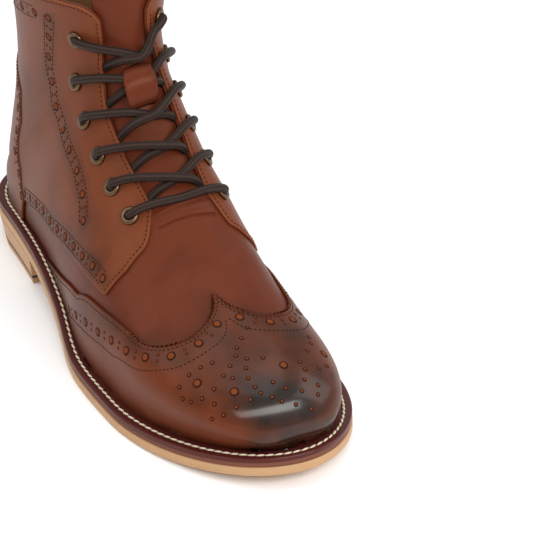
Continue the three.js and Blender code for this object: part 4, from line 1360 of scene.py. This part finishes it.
@dataclass
class Bottom:
    """Welt with its stitches, midsole, outsole and stacked heel. Sizes are in millimetres."""

    finishes: Finishes
    welt_low: float = 7.6
    welt_high: float = 10.0
    stitch_inset: float = 3.9
    breast_lean: float = 3.0
    heel_taper: float = 2.4
    heel_inset: float = 0.2

    def build(self) -> None:
        """Builds every layer."""
        sole, board = self.finishes["sole"], self.finishes["board"]
        self.slab("outsole_leather", "outsole", sole, low=0.0, high=4.8, inset=0.0, bevel=0.8)
        self.slab("midsole_board", "midsole", board, low=4.9, high=7.5, inset=0.6, bevel=0.3)
        self.welt()
        self.heel("heel_lifts", "heel_stack", "heel", self.finishes["stack"], low=5.4, high=16.7)
        self.heel("heel_rubber_line", "heel_line", "rubber", self.finishes["rubber"], low=3.7, high=5.1)
        self.heel("heel_top_piece", "heel_lift", "heel", sole, low=0.0, high=3.4)
        dress(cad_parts["insole"], self.finishes["lining"])

    def slab(
        self, name: str, node: str, finish: Material, low: float, high: float, inset: float, bevel: float
    ) -> None:
        """A full layer of the sole with eased edges."""
        eased = bevel * 0.3
        bottom = [(bevel, low), (eased, low + eased), (0, low + bevel)]
        edge = bottom + [(0, high - bevel), (eased, high - eased), (bevel, high)]
        profile = [(-1, *corner) for corner in edge] + [(1, *corner) for corner in reversed(edge)]

        def place(u: Array, rows: Array) -> Array:
            """Points of the layer."""
            x = mix(inset, SOLE.length - inset, (1 - np.cos(np.pi * u)) / 2)
            half = SOLE.half(x, inset, inset, SOLE.length - inset)
            return on_sole(x, SOLE.centre(x) + rows[:, 0] * np.maximum(half - rows[:, 1], 0), rows[:, 2])

        obj = swept(name, 150, profile, place, True)
        sharpen(obj)
        fit(obj, node, [node], finish)

    def welt(self) -> None:
        """Welt all the way round, with a groove for its stitches."""
        low, high = self.welt_low, self.welt_high
        profile = [
            (0.2, low), (0.2, high - 0.6), (0.5, high - 0.2), (1.1, high), (3.1, high), (3.4, high - 0.5),
            (4.5, high - 0.5), (4.8, high), (13.7, high), (13.7, low),
        ]

        def place(u: Array, rows: Array) -> Array:
            """Points of the welt."""
            return on_sole(*SOLE.rim(u, rows[:, 0]), rows[:, 1])

        obj = swept("welt_strip", 260, profile, place, False)
        sharpen(obj)
        fit(obj, "welt", ["welt"], self.finishes["welt"])
        path = on_sole(*SOLE.rim(np.linspace(0, 1, 700), np.array(self.stitch_inset)), high - 0.05)
        bm = bmesh.new()
        WELT_STITCH.sew(bm, path, np.tile((0.0, 0.0, 1.0), (len(path), 1)))
        dress(finish_mesh("welt_stitches", bm), self.finishes["linen"])

    def outline(self, height: float) -> Array:
        """Corners of the heel's outline at a height above the floor."""
        share = height / SOLE.heel_rise
        inset = self.heel_taper * (1 - share) + self.heel_inset
        breast = SOLE.heel_length + self.breast_lean * (share - 1)
        x = mix(inset, breast, 1 - np.cos(np.linspace(0, np.pi / 2, 40)))
        half = SOLE.half(x, inset, inset, SOLE.length)
        middle = SOLE.centre(x)
        y = np.concatenate([middle + half, (middle - half)[:0:-1]])
        x = np.concatenate([x, x[:0:-1]]) - LAST.heel_centre
        return np.stack([x, y, np.full_like(x, height)], axis=-1) * MM

    def heel(self, name: str, node: str, slot: str, finish: Material, low: float, high: float) -> None:
        """A layer of the heel, flat above and below."""
        bm = bmesh.new()
        rings = []
        for height in (low, high):
            rings.append(bm.faces.new([bm.verts.new(corner) for corner in self.outline(height)]))
        bmesh.ops.bridge_loops(bm, edges=[edge for face in rings for edge in face.edges])
        bmesh.ops.recalc_face_normals(bm, faces=bm.faces)
        obj = finish_mesh(name, bm)
        sharpen(obj)
        fit(obj, slot, [node], finish)


@dataclass
class Zip:
    """Zip on the inner side: tape, two rows of coil, leather lips, slider and pull."""

    finishes: Finishes
    route: Table = ((12.9, 0.49), (13.7, 0.55), (14.5, 0.565), (16, 0.535), (17.4, 0.5), (18.5, 0.48))
    start: float = 12.95
    end: float = 18.5
    tape_half: float = 3.1
    coil_aside: float = 0.75
    lip_aside: float = 3.4

    def build(self) -> None:
        """Builds the zip."""
        sections = np.linspace(self.start, self.end, 14)
        line = at_heights([*zip(sections, through(self.route, sections))], 1.0)

        def region(u: Array, v: Array) -> tuple[Array, Array]:
            """Along the tape and across it."""
            return line.at(u * line.length, (2 * v - 1) * self.tape_half)

        tape = sheet_on_last("zip_tape", [(110, 6, region)], even(0.12), 0.8)
        fit(tape, "zip_tape", ["zip_chain"], self.finishes["tape"])
        coils = bmesh.new()
        for way, first in ((-1, 0.6), (1, 0.95)):
            section, across = line.at(np.linspace(0, line.length, 200), way * self.coil_aside)
            _, by_across, ups = LAST.directions(section, across)
            ZIP_TOOTH.sew(coils, LAST.point(section, across, 0.35), ups, by_across, first)
        dress(finish_mesh("zip_coils", coils), self.finishes["tape"])
        for name, way in (("zip_lip_back", -1), ("zip_lip_front", 1)):
            section, across = line.at(np.linspace(0, line.length, 60), way * self.lip_aside)
            dress(tube(name, LAST.point(section, across, 0.1), 0.75, 8), self.finishes["thread"])
        for node in ("zip_slider", "zip_pull"):
            dress(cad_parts[node], self.finishes["brass"])


MIDDLE = Vector((0.11, 0, 0.05))
TOE = Vector((0.2, 0, 0.03))


@dataclass(frozen=True)
class SoftBox:
    """A soft light: its aim, how far it stands right, towards the camera and up in metres, size and power."""

    name: str
    aim: Vector
    right: float
    back: float
    up: float
    width: float
    height: float
    power: float

    def build(self, right: Vector, back: Vector) -> None:
        """Places the light, from the camera's directions."""
        data = bpy.data.lights.new(self.name, "AREA")
        data.shape = "RECTANGLE"
        data.size = self.width
        data.size_y = self.height
        data.energy = self.power
        box = add_object(self.name, data)
        box.location = self.aim + right * self.right + back * self.back + Vector((0, 0, self.up))
        box.rotation_euler = (self.aim - box.location).to_track_quat("-Z", "Y").to_euler()


@dataclass(frozen=True)
class Studio:
    """Camera, floor and soft lights."""

    azimuth: float = 62.116
    elevation: float = 32.0
    roll: float = -0.675
    distance: float = 1.4
    lens: float = 182.4
    target: tuple = (0.14919, 0.0489, 0.04)
    boxes: tuple = (
        SoftBox("left_box", MIDDLE, -0.9, 0.2, 0.75, 0.9, 0.9, 4.5),
        SoftBox("right_box", MIDDLE, 1.0, -0.1, 0.7, 0.8, 0.8, 3.0),
        SoftBox("front_strip", TOE, 0.3, 0.8, 0.24, 1.2, 0.3, 8.0),
        SoftBox("top_box", MIDDLE, 0.0, -0.3, 1.4, 1.2, 1.2, 5.5),
    )

    def build(self) -> None:
        """Places camera, floor and lights."""
        turn, rise, roll = (math.radians(angle) for angle in (self.azimuth, self.elevation, self.roll))
        back = Vector((math.sin(turn) * math.cos(rise), -math.cos(turn) * math.cos(rise), math.sin(rise)))
        right = (-back).cross(Vector((0, 0, 1))).normalized()
        up = right.cross(-back)
        level = right * math.cos(roll) + up * math.sin(roll)
        upright = up * math.cos(roll) - right * math.sin(roll)
        data = bpy.data.cameras.new("camera")
        data.lens = self.lens
        data.sensor_width = 36
        camera = add_object("camera", data)
        matrix = Matrix((level, upright, back)).transposed().to_4x4()
        camera.matrix_world = Matrix.Translation(Vector(self.target) + back * self.distance) @ matrix
        bpy.context.scene.camera = camera
        for box in self.boxes:
            box.build(right, back)
        self.floor()

    def floor(self) -> None:
        """A pale floor and an even sky."""
        bm = bmesh.new()
        bmesh.ops.create_grid(bm, x_segments=1, y_segments=1, size=6)
        mesh = bpy.data.meshes.new("floor")
        bm.to_mesh(mesh)
        bm.free()
        paper = bpy.data.materials.new("studio_paper")
        paper.use_nodes = True
        shader = paper.node_tree.nodes["Principled BSDF"]
        shader.inputs["Base Color"].default_value = linear("#fafafa")
        shader.inputs["Roughness"].default_value = 0.9
        mesh.materials.append(paper)
        add_object("floor", mesh)
        world = bpy.data.worlds.new("studio")
        world.use_nodes = True
        sky = world.node_tree.nodes["Background"]
        sky.inputs["Color"].default_value = linear("#ffffff")
        sky.inputs["Strength"].default_value = 0.6
        bpy.context.scene.world = world
        bpy.context.scene.view_settings.view_transform = "Standard"


def main() -> None:
    """Builds the studio and every sub-assembly in order."""
    Studio().build()
    finishes = {name: finish.material() for name, finish in FINISHES.items()}
    punches = Punches()
    Upper(finishes, punches).build()
    Tongue(finishes).build()
    Lacing(finishes).build()
    Bottom(finishes).build()
    Zip(finishes).build()
    punches.build(finishes)


if __name__ == "__main__":
    logging.basicConfig(level=logging.INFO)
    main()
